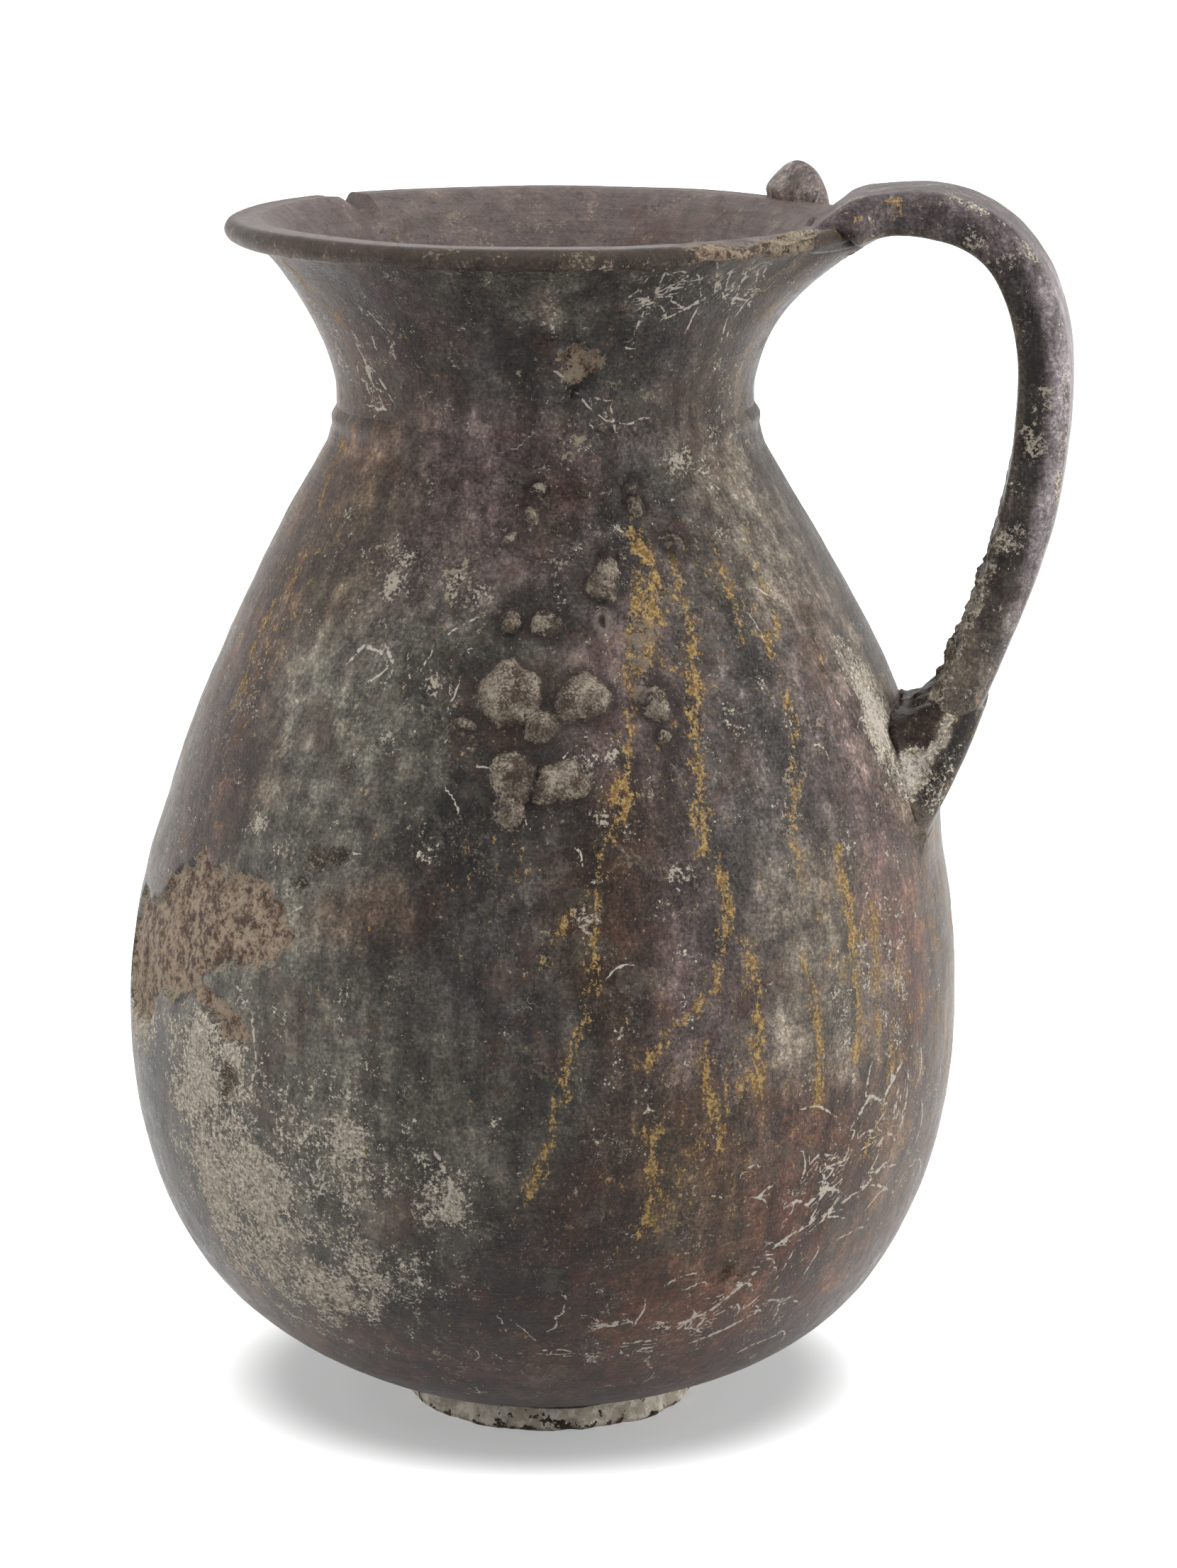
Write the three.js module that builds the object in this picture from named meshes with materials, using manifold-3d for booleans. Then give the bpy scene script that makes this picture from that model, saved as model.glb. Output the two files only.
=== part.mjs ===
// A handmade olpe: a one-handled pouring jug in dark burnished clay.
// Millimetres, +Z up. The origin is the centre of the foot's flat underside,
// and the strap handle stands towards +X.
import * as THREE from 'three';
import { mergeVertices } from 'three/addons/utils/BufferGeometryUtils.js';
import Module from 'manifold-3d';

const wasm = await Module();
wasm.setup();

// Foot: a low clay disc with a dished top that the round body sits in
const FOOT_RADIUS = 30;
const FOOT_EDGE_ROUND = 1;
const FOOT_HEIGHT = 5.2;
const FOOT_DISH = 1.6;
const FOOT_OFFSET = 1.4; // the foot was set this far towards the handle

// Body: a full, low belly that narrows to the neck
const BELLY_RADIUS = 86.6;
const BELLY_HEIGHT = 87;
const BODY_WALL = 5.5;
const BASE_SPREAD = 20; // how far the underside runs out before it turns up
const BASE_LIFT = 6.5;
const BELLY_DEPTH = 62; // the upright pull of the curve below the belly
const SHOULDER_RISE = 54; // and above it
const SHOULDER_FLAT = 10; // the straight end of the shoulder, across and up
const SHOULDER_RUN = 18;
const SCARF_RISE = 4; // the belly joint slopes up by this much from outside to inside

// Neck and rim
const NECK_RADIUS = 42.9;
const NECK_SEAT_HEIGHT = 208;
const NECK_WAIST_HEIGHT = 215;
const NECK_WALL = 4.8;
const NECK_SCARF = 2.5;
const FLARE_RISE = 10.6; // how long the flare stays upright above the waist
const FLARE_LEVEL = 5; // how long it runs level under the lip
const RIM_RADIUS = 62.8; // to the middle of the rounded lip
const RIM_HEIGHT = 250;
const LIP_RADIUS = 2.3;
const LIP_TUCK = 40; // degrees below level where the flare meets the lip

// Chip in the rim, on the side away from the handle
const CHIP_ANGLE = 140;
const CHIP_WIDTH = 7.5;
const CHIP_DEPTH = 3;

// Collar: a thin band of clay over the neck joint
const COLLAR_FOOT_HEIGHT = 203;
const COLLAR_TOP_HEIGHT = 212.4;
const COLLAR_THICKNESS = 1.3;
const COLLAR_EDGE = 0.5;

// Strap handle
const STRAP_WIDTH = 28;
const STRAP_THICKNESS = 9;
const STRAP_EDGE_ROUND = 2.2;
const ARCH_RADIUS = 76;
const ARCH_RISE = 3.1; // middle of the strap above the rim at the top of its arch
const ARCH_THICKNESS = 6.8;
const ARCH_PULL_IN = 8;
const ARCH_PULL_OUT = 17;
const HANDLE_REACH = 103.3;
const HANDLE_REACH_HEIGHT = 219;
const REACH_PULL_UP = 20;
const REACH_PULL_DOWN = 32;
const RIM_LAP = 6.5; // how far the strap laps over the lip into the mouth
const LAP_THICKNESS = 2.4;
const LAP_SWELL_LENGTH = 12; // over which the lap thickens to the arch
const ARCH_SWELL_END = 63; // how far along the strap has its full thickness
const LAP_DROP = 2.1;
const RIM_FLARE_WIDTH = 56;
const RIM_FLARE_LENGTH = 21;
const RIM_FLARE_SHIFT = 4; // the wide end leans to the far side
const ROOT_HEIGHT = 134;
const ROOT_WIDTH = 36;
const ROOT_FLARE_LENGTH = 34;
const ROOT_SINK = 0.8; // the middle line is this deep in the wall at that height
const ROOT_TAIL = 12; // and runs on so that the whole end is cut to the wall
const ROOT_LEAN = 13;
const ROOT_CLIMB = 25;

// Clay pressed round the handle's lower end
const ROOT_CLAY_HEIGHT = 22;
const ROOT_CLAY_SPREAD = 3; // beside the strap
const ROOT_CLAY_CROTCH = 9; // in the angle between the strap and the wall
const ROOT_CLAY_EDGE = 0.9;

// Two lobes that stand on the rim beside the strap
const LOBE_RADIUS = 8;
const LOBE_THICKNESS = 4.4;
const LOBE_LEAN = 18; // degrees outwards from upright
const LOBE_RISE = 2.8; // from the middle of the lip to the centre of the half disc
const FAR_LOBE_ANGLE = 41;
const NEAR_LOBE_ANGLE = -31;
const STUMP_HEIGHT = 3.4; // what is left of the broken near lobe above the rim
const STUMP_SLOPE = 14; // degrees, rising towards the strap
const SCAR_ANGLE = -45;
const SCAR_LENGTH = 22;
const SCAR_DEPTH = 1.2;
const SCAR_SLOPE = 20;

// Luting gap between neighbouring pieces, and the fineness of the facets
const GAP = 0.3;
const RING_STEPS = 48;
const CURVE_STEPS = 10;
const LIP_STEPS = 6;
const LIP_WRAP = 245; // degrees of the lip's circle that show
const LIP_ROOM = 3; // points of the inner line that give way to the lip
const STRAP_STEPS = 36;
const CORNER_STEPS = 3;
const ROOT_CLAY_STEPS = 8;

const CUTTER_LENGTH = 30; // long enough to pass right through the rim and the lobes
const MERGE_DISTANCE = 1e-4;

// Solids
function toSolid(geometry) {
  geometry.deleteAttribute('normal');
  geometry.deleteAttribute('uv');
  const merged = mergeVertices(geometry, MERGE_DISTANCE);
  const place = merged.attributes.position;
  const corners = merged.index.array;
  const kept = [];
  let volume = 0;
  const a = new THREE.Vector3();
  const b = new THREE.Vector3();
  const c = new THREE.Vector3();
  for (let i = 0; i < corners.length; i += 3) {
    const [p, q, r] = [corners[i], corners[i + 1], corners[i + 2]];
    if (p === q || q === r || r === p) continue;
    kept.push(p, q, r);
    a.fromBufferAttribute(place, p);
    b.fromBufferAttribute(place, q);
    c.fromBufferAttribute(place, r);
    volume += a.dot(b.cross(c));
  }
  if (volume < 0) kept.reverse();
  return new wasm.Manifold(new wasm.Mesh({
    numProp: 3,
    vertProperties: new Float32Array(place.array),
    triVerts: new Uint32Array(kept),
  }));
}

function toMesh(name, solid, material) {
  const { vertProperties, triVerts } = solid.getMesh();
  const geometry = new THREE.BufferGeometry();
  geometry.setAttribute('position', new THREE.BufferAttribute(new Float32Array(vertProperties), 3));
  geometry.setIndex(new THREE.BufferAttribute(new Uint32Array(triVerts), 1));
  const mesh = new THREE.Mesh(geometry, material);
  mesh.name = name;
  return mesh;
}

function spin(outline) {
  const geometry = new THREE.LatheGeometry(outline, RING_STEPS);
  geometry.rotateX(Math.PI / 2);
  return toSolid(geometry);
}

// A closed skin over a row of rings that all have the same number of points
function loft(rings) {
  const count = rings[0].length;
  const places = rings.flat().flatMap((point) => [point.x, point.y, point.z]);
  const faces = [];
  for (let ring = 0; ring + 1 < rings.length; ring += 1) {
    for (let i = 0; i < count; i += 1) {
      const next = (i + 1) % count;
      const low = ring * count;
      const high = low + count;
      faces.push(low + i, low + next, high + next, low + i, high + next, high + i);
    }
  }
  const last = (rings.length - 1) * count;
  for (let i = 1; i + 1 < count; i += 1) {
    faces.push(0, i + 1, i, last, last + i, last + i + 1);
  }
  const geometry = new THREE.BufferGeometry();
  geometry.setAttribute('position', new THREE.Float32BufferAttribute(places, 3));
  geometry.setIndex(faces);
  return toSolid(geometry);
}

// Lines in the plane of the wall's section: x is the radius, y is the height
const at = (radius, height) => new THREE.Vector2(radius, height);

function bend(start, startPull, endPull, end, steps = CURVE_STEPS) {
  return new THREE.CubicBezierCurve(start, startPull, endPull, end).getPoints(steps);
}

// Moves a line sideways: a positive distance goes to its left
function offset(line, distance) {
  return line.map((point, i) => {
    const before = line[Math.max(i - 1, 0)];
    const after = line[Math.min(i + 1, line.length - 1)];
    const along = after.clone().sub(before).normalize();
    return at(point.x - along.y * distance, point.y + along.x * distance);
  });
}

function radiusAt(line, height) {
  const i = line.findIndex((point) => point.y >= height);
  const low = line[i - 1];
  const high = line[i];
  return low.x + (high.x - low.x) * (height - low.y) / (high.y - low.y);
}

function lowerLine() {
  return bend(
    at(FOOT_RADIUS, FOOT_HEIGHT + GAP),
    at(FOOT_RADIUS + BASE_SPREAD, FOOT_HEIGHT + BASE_LIFT),
    at(BELLY_RADIUS, BELLY_HEIGHT - BELLY_DEPTH),
    at(BELLY_RADIUS, BELLY_HEIGHT),
  );
}

function upperLine() {
  return bend(
    at(BELLY_RADIUS, BELLY_HEIGHT),
    at(BELLY_RADIUS, BELLY_HEIGHT + SHOULDER_RISE),
    at(NECK_RADIUS + SHOULDER_FLAT, NECK_SEAT_HEIGHT - SHOULDER_RUN),
    at(NECK_RADIUS, NECK_SEAT_HEIGHT),
  );
}

// Both ends of a wall are sloped so that the pieces overlap in a scarf
function wall(line, thickness, startRise, endRise) {
  const inner = offset(line, thickness);
  inner[0].y = line[0].y + startRise;
  inner[inner.length - 1].y = line[line.length - 1].y + endRise;
  return [...line, ...inner.reverse(), line[0].clone()];
}

function makeFoot() {
  const rim = at(FOOT_RADIUS, FOOT_HEIGHT);
  const dish = new THREE.QuadraticBezierCurve(
    rim,
    at(FOOT_RADIUS / 2, FOOT_HEIGHT - FOOT_DISH),
    at(0, FOOT_HEIGHT - FOOT_DISH),
  ).getPoints(CURVE_STEPS / 2);
  return spin([at(0, 0), at(FOOT_RADIUS - FOOT_EDGE_ROUND, 0), at(FOOT_RADIUS, FOOT_EDGE_ROUND), ...dish]);
}

function makeLowerBody() {
  const seat = new THREE.QuadraticBezierCurve(
    at(0, FOOT_HEIGHT - FOOT_DISH + GAP),
    at(FOOT_RADIUS / 2, FOOT_HEIGHT - FOOT_DISH + GAP),
    at(FOOT_RADIUS, FOOT_HEIGHT + GAP),
  ).getPoints(CURVE_STEPS / 2);
  const outer = [...seat.slice(0, -1), ...lowerLine()];
  const inner = offset(outer, BODY_WALL);
  inner[0].x = 0;
  inner[inner.length - 1].y = BELLY_HEIGHT + SCARF_RISE;
  return spin([...outer, ...inner.reverse()]);
}

function makeUpperBody() {
  const line = upperLine();
  line[0].y += GAP;
  line[line.length - 1].y -= GAP;
  return spin(wall(line, BODY_WALL, SCARF_RISE, -NECK_SCARF));
}

// The neck's outer face from its seat up to the lip
function neckLine() {
  const tuck = THREE.MathUtils.degToRad(LIP_TUCK);
  const underLip = at(
    RIM_RADIUS - LIP_RADIUS * Math.sin(tuck),
    RIM_HEIGHT - LIP_RADIUS - LIP_RADIUS * Math.cos(tuck),
  );
  const flare = bend(
    at(NECK_RADIUS, NECK_WAIST_HEIGHT),
    at(NECK_RADIUS, NECK_WAIST_HEIGHT + FLARE_RISE),
    at(underLip.x - FLARE_LEVEL, underLip.y),
    underLip,
  );
  return [at(NECK_RADIUS, NECK_SEAT_HEIGHT), ...flare];
}

// The whole neck with its rounded lip, fatter by grow all over
function neckSolid(grow) {
  const outer = neckLine();
  const inner = offset(outer, NECK_WALL).slice(0, 1 - LIP_ROOM);
  inner[0].y = NECK_SEAT_HEIGHT - NECK_SCARF;
  const start = THREE.MathUtils.degToRad(-90 - LIP_TUCK);
  const lip = [];
  for (let i = 0; i <= LIP_STEPS; i += 1) {
    const turn = start + THREE.MathUtils.degToRad(LIP_WRAP) * i / LIP_STEPS;
    const radius = LIP_RADIUS + grow;
    lip.push(at(
      RIM_RADIUS + radius * Math.cos(turn),
      RIM_HEIGHT - LIP_RADIUS + radius * Math.sin(turn),
    ));
  }
  const outline = [...offset(outer, -grow).slice(0, -1), ...lip, ...offset(inner, grow).reverse()];
  return spin([...outline, outline[0].clone()]);
}

// A solid of the body's whole outside, used to cut what is pressed on to it
function bodyCutter() {
  const line = offset([...lowerLine(), ...upperLine().slice(1)], -GAP);
  return spin([at(0, line[0].y), ...line, at(0, line[line.length - 1].y)]);
}

function turned(geometry, angle) {
  return toSolid(geometry.rotateZ(THREE.MathUtils.degToRad(angle)));
}

// A wedge whose edge points down: it cuts the chip out of the rim
function chipCutter() {
  const shape = new THREE.Shape([
    at(0, -CHIP_DEPTH),
    at(CHIP_WIDTH, CHIP_DEPTH),
    at(-CHIP_WIDTH, CHIP_DEPTH),
  ]);
  const geometry = new THREE.ExtrudeGeometry(shape, { depth: CUTTER_LENGTH, bevelEnabled: false });
  geometry.translate(0, 0, -CUTTER_LENGTH / 2);
  geometry.rotateX(Math.PI / 2);
  geometry.rotateZ(Math.PI / 2);
  geometry.translate(RIM_RADIUS, 0, RIM_HEIGHT);
  return turned(geometry, CHIP_ANGLE);
}

// A slab that shears off the lip's outer edge where the near lobe broke away
function scarCutter() {
  const geometry = new THREE.BoxGeometry(CUTTER_LENGTH, SCAR_LENGTH, CUTTER_LENGTH);
  geometry.translate(CUTTER_LENGTH / 2 + LIP_RADIUS - SCAR_DEPTH, 0, 0);
  geometry.rotateY(THREE.MathUtils.degToRad(-SCAR_SLOPE));
  geometry.translate(RIM_RADIUS, 0, RIM_HEIGHT - LIP_RADIUS);
  return turned(geometry, SCAR_ANGLE);
}

function makeNeck() {
  return neckSolid(0).subtract(chipCutter()).subtract(scarCutter());
}

function makeCollar() {
  const under = [...upperLine(), at(NECK_RADIUS, COLLAR_TOP_HEIGHT)]
    .filter((point) => point.y > COLLAR_FOOT_HEIGHT);
  const inner = offset([at(radiusAt(upperLine(), COLLAR_FOOT_HEIGHT), COLLAR_FOOT_HEIGHT), ...under], -GAP);
  const last = inner.length - 1;
  inner[last].y = COLLAR_TOP_HEIGHT;
  const outer = offset(inner, -COLLAR_THICKNESS);
  outer[0] = at(inner[0].x + COLLAR_EDGE, inner[0].y);
  outer[last] = at(inner[last].x + COLLAR_EDGE, inner[last].y);
  outer.splice(last, 0, at(inner[last].x + COLLAR_THICKNESS, COLLAR_TOP_HEIGHT - COLLAR_EDGE));
  return spin([...inner, ...outer.reverse(), inner[0].clone()]);
}

// The middle line of the strap, from inside the mouth over the arch and down into the wall
function strapPath() {
  const point = (radius, height) => new THREE.Vector3(radius, 0, height);
  const archHeight = RIM_HEIGHT + ARCH_RISE;
  const lap = point(RIM_RADIUS - RIM_LAP, RIM_HEIGHT - LAP_DROP);
  const arch = point(ARCH_RADIUS, archHeight);
  const reach = point(HANDLE_REACH, HANDLE_REACH_HEIGHT);
  const root = point(radiusAt(upperLine(), ROOT_HEIGHT) - ROOT_SINK, ROOT_HEIGHT);
  const rootPull = root.clone().add(point(ROOT_LEAN, ROOT_CLIMB));
  const tail = root.clone().sub(point(ROOT_LEAN, ROOT_CLIMB).setLength(ROOT_TAIL));
  const path = new THREE.CurvePath();
  path.add(new THREE.CubicBezierCurve3(
    lap,
    lap.clone().add(point(RIM_LAP - LAP_DROP, RIM_LAP / 2)),
    arch.clone().sub(point(ARCH_PULL_IN, 0)),
    arch,
  ));
  path.add(new THREE.CubicBezierCurve3(
    arch,
    arch.clone().add(point(ARCH_PULL_OUT, 0)),
    reach.clone().add(point(0, REACH_PULL_UP)),
    reach,
  ));
  path.add(new THREE.CubicBezierCurve3(
    reach,
    reach.clone().sub(point(0, REACH_PULL_DOWN)),
    rootPull,
    root,
  ));
  path.add(new THREE.LineCurve3(root, tail));
  return path;
}

// One at the start, none after the given length, with a hollow curve between
const fade = (done, length) => Math.max(1 - done / length, 0) ** 2;
const ease = (value, low, high) => THREE.MathUtils.smoothstep(value, low, high);

function strapSize(done, length) {
  const rimFlare = fade(done, RIM_FLARE_LENGTH);
  const rootFlare = fade(Math.max(length - ROOT_TAIL - done, 0), ROOT_FLARE_LENGTH);
  const width = STRAP_WIDTH
    + (RIM_FLARE_WIDTH - STRAP_WIDTH) * rimFlare
    + (ROOT_WIDTH - STRAP_WIDTH) * rootFlare;
  const thickness = LAP_THICKNESS
    + (ARCH_THICKNESS - LAP_THICKNESS) * ease(done, 0, LAP_SWELL_LENGTH)
    + (STRAP_THICKNESS - ARCH_THICKNESS) * ease(done, RIM_FLARE_LENGTH, ARCH_SWELL_END);
  return { width, thickness, shift: RIM_FLARE_SHIFT * rimFlare };
}

// A rounded rectangle across the path, with three points to a corner.
// It can be fatter beside the strap, on its inner face and on its outer face.
function strapRing(path, share, growSide, growIn, growOut) {
  const length = path.getLength();
  const size = strapSize(share * length, length);
  const side = new THREE.Vector3(0, 1, 0);
  const out = path.getTangentAt(share).cross(side);
  const middle = path.getPointAt(share).addScaledVector(out, (growOut - growIn) / 2);
  const halfWidth = size.width / 2 + growSide;
  const halfThickness = (size.thickness + growIn + growOut) / 2;
  const round = Math.min(STRAP_EDGE_ROUND, halfThickness);
  const ring = [];
  for (const quarter of [0, 1, 2, 3]) {
    const sideways = quarter === 0 || quarter === 3 ? 1 : -1;
    const outwards = quarter < 2 ? 1 : -1;
    for (let i = 0; i < CORNER_STEPS; i += 1) {
      const turn = (quarter + i / (CORNER_STEPS - 1)) * Math.PI / 2;
      ring.push(middle.clone()
        .addScaledVector(side, size.shift + sideways * (halfWidth - round) + round * Math.cos(turn))
        .addScaledVector(out, outwards * (halfThickness - round) + round * Math.sin(turn)));
    }
  }
  return ring;
}

function strapSolid(grow) {
  const path = strapPath();
  const rings = [];
  for (let i = 0; i <= STRAP_STEPS; i += 1) {
    rings.push(strapRing(path, i / STRAP_STEPS, grow, grow, grow));
  }
  return loft(rings);
}

function makeHandle() {
  return strapSolid(0).subtract(neckSolid(GAP)).subtract(bodyCutter());
}

// Clay pressed round the strap: thick at the wall and thin where it runs out on the strap
function makeRootClay() {
  const path = strapPath();
  const length = path.getLength();
  const start = length - ROOT_TAIL - ROOT_CLAY_HEIGHT;
  const rings = [];
  for (let i = 0; i <= ROOT_CLAY_STEPS; i += 1) {
    const done = start + (length - start) * i / ROOT_CLAY_STEPS;
    const left = fade(done - start, ROOT_CLAY_HEIGHT);
    const beside = ROOT_CLAY_SPREAD + (ROOT_CLAY_EDGE - ROOT_CLAY_SPREAD) * left;
    const crotch = ROOT_CLAY_CROTCH + (ROOT_CLAY_EDGE - ROOT_CLAY_CROTCH) * left;
    rings.push(strapRing(path, done / length, beside, crotch, ROOT_CLAY_EDGE));
  }
  return loft(rings).subtract(strapSolid(GAP)).subtract(bodyCutter());
}

// A half disc on a short stem that leans out with the flare of the neck
function lobeSolid(angle) {
  const shape = new THREE.Shape();
  shape.moveTo(-LOBE_RADIUS, 0);
  shape.lineTo(LOBE_RADIUS, 0);
  shape.lineTo(LOBE_RADIUS, LOBE_RISE);
  shape.absarc(0, LOBE_RISE, LOBE_RADIUS, 0, Math.PI, false);
  const geometry = new THREE.ExtrudeGeometry(shape, {
    depth: LOBE_THICKNESS,
    bevelEnabled: false,
    curveSegments: CURVE_STEPS,
  });
  geometry.translate(0, 0, -LOBE_THICKNESS / 2);
  geometry.rotateX(Math.PI / 2);
  geometry.rotateZ(Math.PI / 2);
  geometry.rotateY(THREE.MathUtils.degToRad(LOBE_LEAN));
  geometry.translate(RIM_RADIUS, 0, RIM_HEIGHT - LIP_RADIUS);
  return turned(geometry, angle).subtract(neckSolid(GAP)).subtract(strapSolid(GAP));
}

function makeFarLobe() {
  return lobeSolid(FAR_LOBE_ANGLE);
}

function makeNearLobeStump() {
  const above = new THREE.BoxGeometry(CUTTER_LENGTH, CUTTER_LENGTH, CUTTER_LENGTH);
  above.translate(0, 0, CUTTER_LENGTH / 2);
  above.rotateX(THREE.MathUtils.degToRad(STUMP_SLOPE));
  above.translate(RIM_RADIUS, 0, RIM_HEIGHT + STUMP_HEIGHT);
  return lobeSolid(NEAR_LOBE_ANGLE).subtract(turned(above, NEAR_LOBE_ANGLE));
}

// Fired clay: near black where it was burnished, browner and paler where it is broken or limy
function clay(color, roughness) {
  return new THREE.MeshStandardMaterial({ color, roughness, metalness: 0 });
}

const olpe = new THREE.Group();
olpe.name = 'olpe';
olpe.add(toMesh('foot', makeFoot(), clay('#8d857a', 0.9)));

const vessel = new THREE.Group();
vessel.position.x = -FOOT_OFFSET;
vessel.add(
  toMesh('lower_body', makeLowerBody(), clay('#433c3a', 0.6)),
  toMesh('upper_body', makeUpperBody(), clay('#46403d', 0.6)),
  toMesh('neck', makeNeck(), clay('#4a4441', 0.6)),
  toMesh('collar', makeCollar(), clay('#48423e', 0.65)),
  toMesh('handle', makeHandle(), clay('#3d3937', 0.6)),
  toMesh('handle_root_clay', makeRootClay(), clay('#7b7268', 0.9)),
  toMesh('far_lobe', makeFarLobe(), clay('#5f5651', 0.7)),
  toMesh('near_lobe_stump', makeNearLobeStump(), clay('#8a7b66', 0.95)),
);
olpe.add(vessel);

export default olpe;
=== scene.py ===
import math

import bpy
import numpy as np
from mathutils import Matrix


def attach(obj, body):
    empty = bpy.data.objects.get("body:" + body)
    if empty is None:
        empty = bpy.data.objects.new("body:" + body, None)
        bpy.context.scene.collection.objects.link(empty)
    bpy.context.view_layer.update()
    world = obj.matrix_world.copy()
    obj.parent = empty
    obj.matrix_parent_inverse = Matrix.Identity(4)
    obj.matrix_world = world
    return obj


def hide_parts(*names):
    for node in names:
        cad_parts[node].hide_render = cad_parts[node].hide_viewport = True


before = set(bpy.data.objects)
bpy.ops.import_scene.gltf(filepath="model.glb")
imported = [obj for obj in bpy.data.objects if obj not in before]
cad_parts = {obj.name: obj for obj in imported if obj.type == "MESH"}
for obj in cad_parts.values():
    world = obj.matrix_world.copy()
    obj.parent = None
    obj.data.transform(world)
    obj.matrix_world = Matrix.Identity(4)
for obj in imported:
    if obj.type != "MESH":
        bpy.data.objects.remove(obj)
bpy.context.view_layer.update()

MM = 0.001
VESSEL_X = -1.4  # the jug's axis stands this far from the middle of the foot

# Foot
FOOT_RADIUS = 30.0
FOOT_HEIGHT = 5.2
FOOT_EDGE_ROUND = 1.0
FOOT_DISH = 1.6

# Body
BELLY_RADIUS = 86.6
BELLY_HEIGHT = 87.0
BODY_WALL = 5.5
BASE_SPREAD = 20.0
BASE_LIFT = 6.5
BELLY_DEPTH = 62.0
SHOULDER_RISE = 54.0
SHOULDER_FLAT = 10.0
SHOULDER_RUN = 18.0

# Neck and rim
NECK_RADIUS = 42.9
NECK_SEAT_HEIGHT = 208.0
NECK_WAIST_HEIGHT = 215.0
NECK_WALL = 4.8
FLARE_RISE = 10.6
FLARE_LEVEL = 5.0
RIM_RADIUS = 62.8
RIM_HEIGHT = 250.0
LIP_RADIUS = 2.3
LIP_TUCK = 40.0
GAP = 0.3

# How far each height of the body leans towards the handle
LEAN_HEIGHTS = (0, 14, 34, 60, 90, 119, 130, 160, 175, 190, 220, 250)
LEANS = (1.4, 1.0, 0.0, -0.3, 0.0, 0.8, 1.6, 1.7, 1.2, 0.6, 0.6, 0.3)

# Collar
COLLAR_FOOT_HEIGHT = 203.0
COLLAR_TOP_HEIGHT = 212.4
COLLAR_THICKNESS = 1.3

# Strap handle
STRAP_WIDTH = 28.0
STRAP_THICKNESS = 9.0
STRAP_EDGE_ROUND = 1.9
STRAP_OUTER_ROUND = 4.0  # its outer corners, worn rounder
ARCH_RADIUS = 76.0
ARCH_RISE = 3.1
ARCH_THICKNESS = 6.8
ARCH_PULL_IN = 8.0
ARCH_PULL_OUT = 17.0
HANDLE_REACH = 103.3
HANDLE_REACH_HEIGHT = 219.0
REACH_PULL_UP = 20.0
REACH_PULL_DOWN = 32.0
RIM_LAP = 6.5
LAP_THICKNESS = 2.4
LAP_SWELL_LENGTH = 12.0
ARCH_SWELL_END = 63.0
LAP_DROP = 2.1
RIM_FLARE_WIDTH = 56.0
RIM_FLARE_LENGTH = 21.0
RIM_FLARE_SHIFT = 4.0
WEB_FOOT_HEIGHT = 219.0  # clay under the strap, swelling from here up to the lip
WEB_TOP_HEIGHT = 245.0
WEB_HALF = 22.0
RIM_THICKEN = 1.4
RIM_PINCH = 4.0
CORNER_FADE = (6, 15)
ROOT_HEIGHT = 134.0
ROOT_WIDTH = 36.0
ROOT_FLARE_LENGTH = 34.0
ROOT_SINK = 0.8
ROOT_TAIL = 12.0
ROOT_LEAN = 13.0
ROOT_CLIMB = 25.0
ROOT_CLAY_HEIGHT = 22.0
ROOT_CLAY_SPREAD = 3.0
ROOT_CLAY_CROTCH = 9.0
ROOT_CLAY_EDGE = 1.1
ROOT_CLAY_THIN = 1.2

# Lobes on the rim
LOBE_RADIUS = 8.0
LOBE_THICKNESS = 4.4
LOBE_LEAN = 18.0
LOBE_RISE = 2.8
FAR_LOBE_ANGLE = 41.0
NEAR_LOBE_ANGLE = -31.0
STUMP_SLOPE = 14.0
LOBE_SINK = 0.7  # how steeply its foot falls towards the mouth
FAR_LOBE_THICKNESS = 13.0  # its body as seen, fuller than the plain disc at its core

# The mouth is not quite level
RIM_LIFT = 0.6
RIM_TILT = 0.5
FAR_SIDE_ANGLE = 98.0

# How softly the pieces run into one another
ROOT_FILLET = 7.0
RIM_FILLET = 9.0
LOBE_FILLET = 4.5
FILLET_TURN = (0.0, 0.4)  # no hollow is needed where two faces run the same way

# Fineness of the meshes
COLUMNS = 500
ROW_GAP = 0.8
INNER_ROW_GAP = 5.0
FRONT_ANGLE = -82.0
FRONT_HALF = 100.0
BACK_SHARE = 0.42

# Camera, floor and lights
CAMERA_PLACE = (0.1373, -0.9905, 0.345)
CAMERA_TILT = 77.97
CAMERA_TURN = 7.43
CAMERA_LENS = 112.3
WORLD_LEVEL = 0.38
LEFT_POWER = 7.2
RIGHT_POWER = 12.5
OVERHEAD_POWER = 1.2
PAINTED_SHADOW_MIDDLE = (-0.003, 0.010, 0.0)  # the middle of the shadow painted on the floor: the floor is seen darker near here and brighter away from it, in metres
PAINTED_SHADOW_REACH = (0.052, 0.081)
FLOOR_HALF = 8.0
# As the camera sees it, the floor's colour and glow are lower near the jug: a painted shadow laid over the
# real shadow that the lamps cast
FLOOR_PAINTED_SHADOW = 0.45
FLOOR_LIGHT = 0.98
FLOOR_GREY = 0.46
FLOOR_GLOW = (0.7, 0.33)
LAMP_AIM = (0, 0, 0.13)
LEFT_PLACE = (-1.3, -0.4, 0.7)
LEFT_SIZE = (0.9, 1.2)
RIGHT_PLACE = (1.4, -0.1, 0.6)
RIGHT_SIZE = (0.6, 1.1)
SUN_ANGLE = 36
SUN_TILT = (8, 4)

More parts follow.
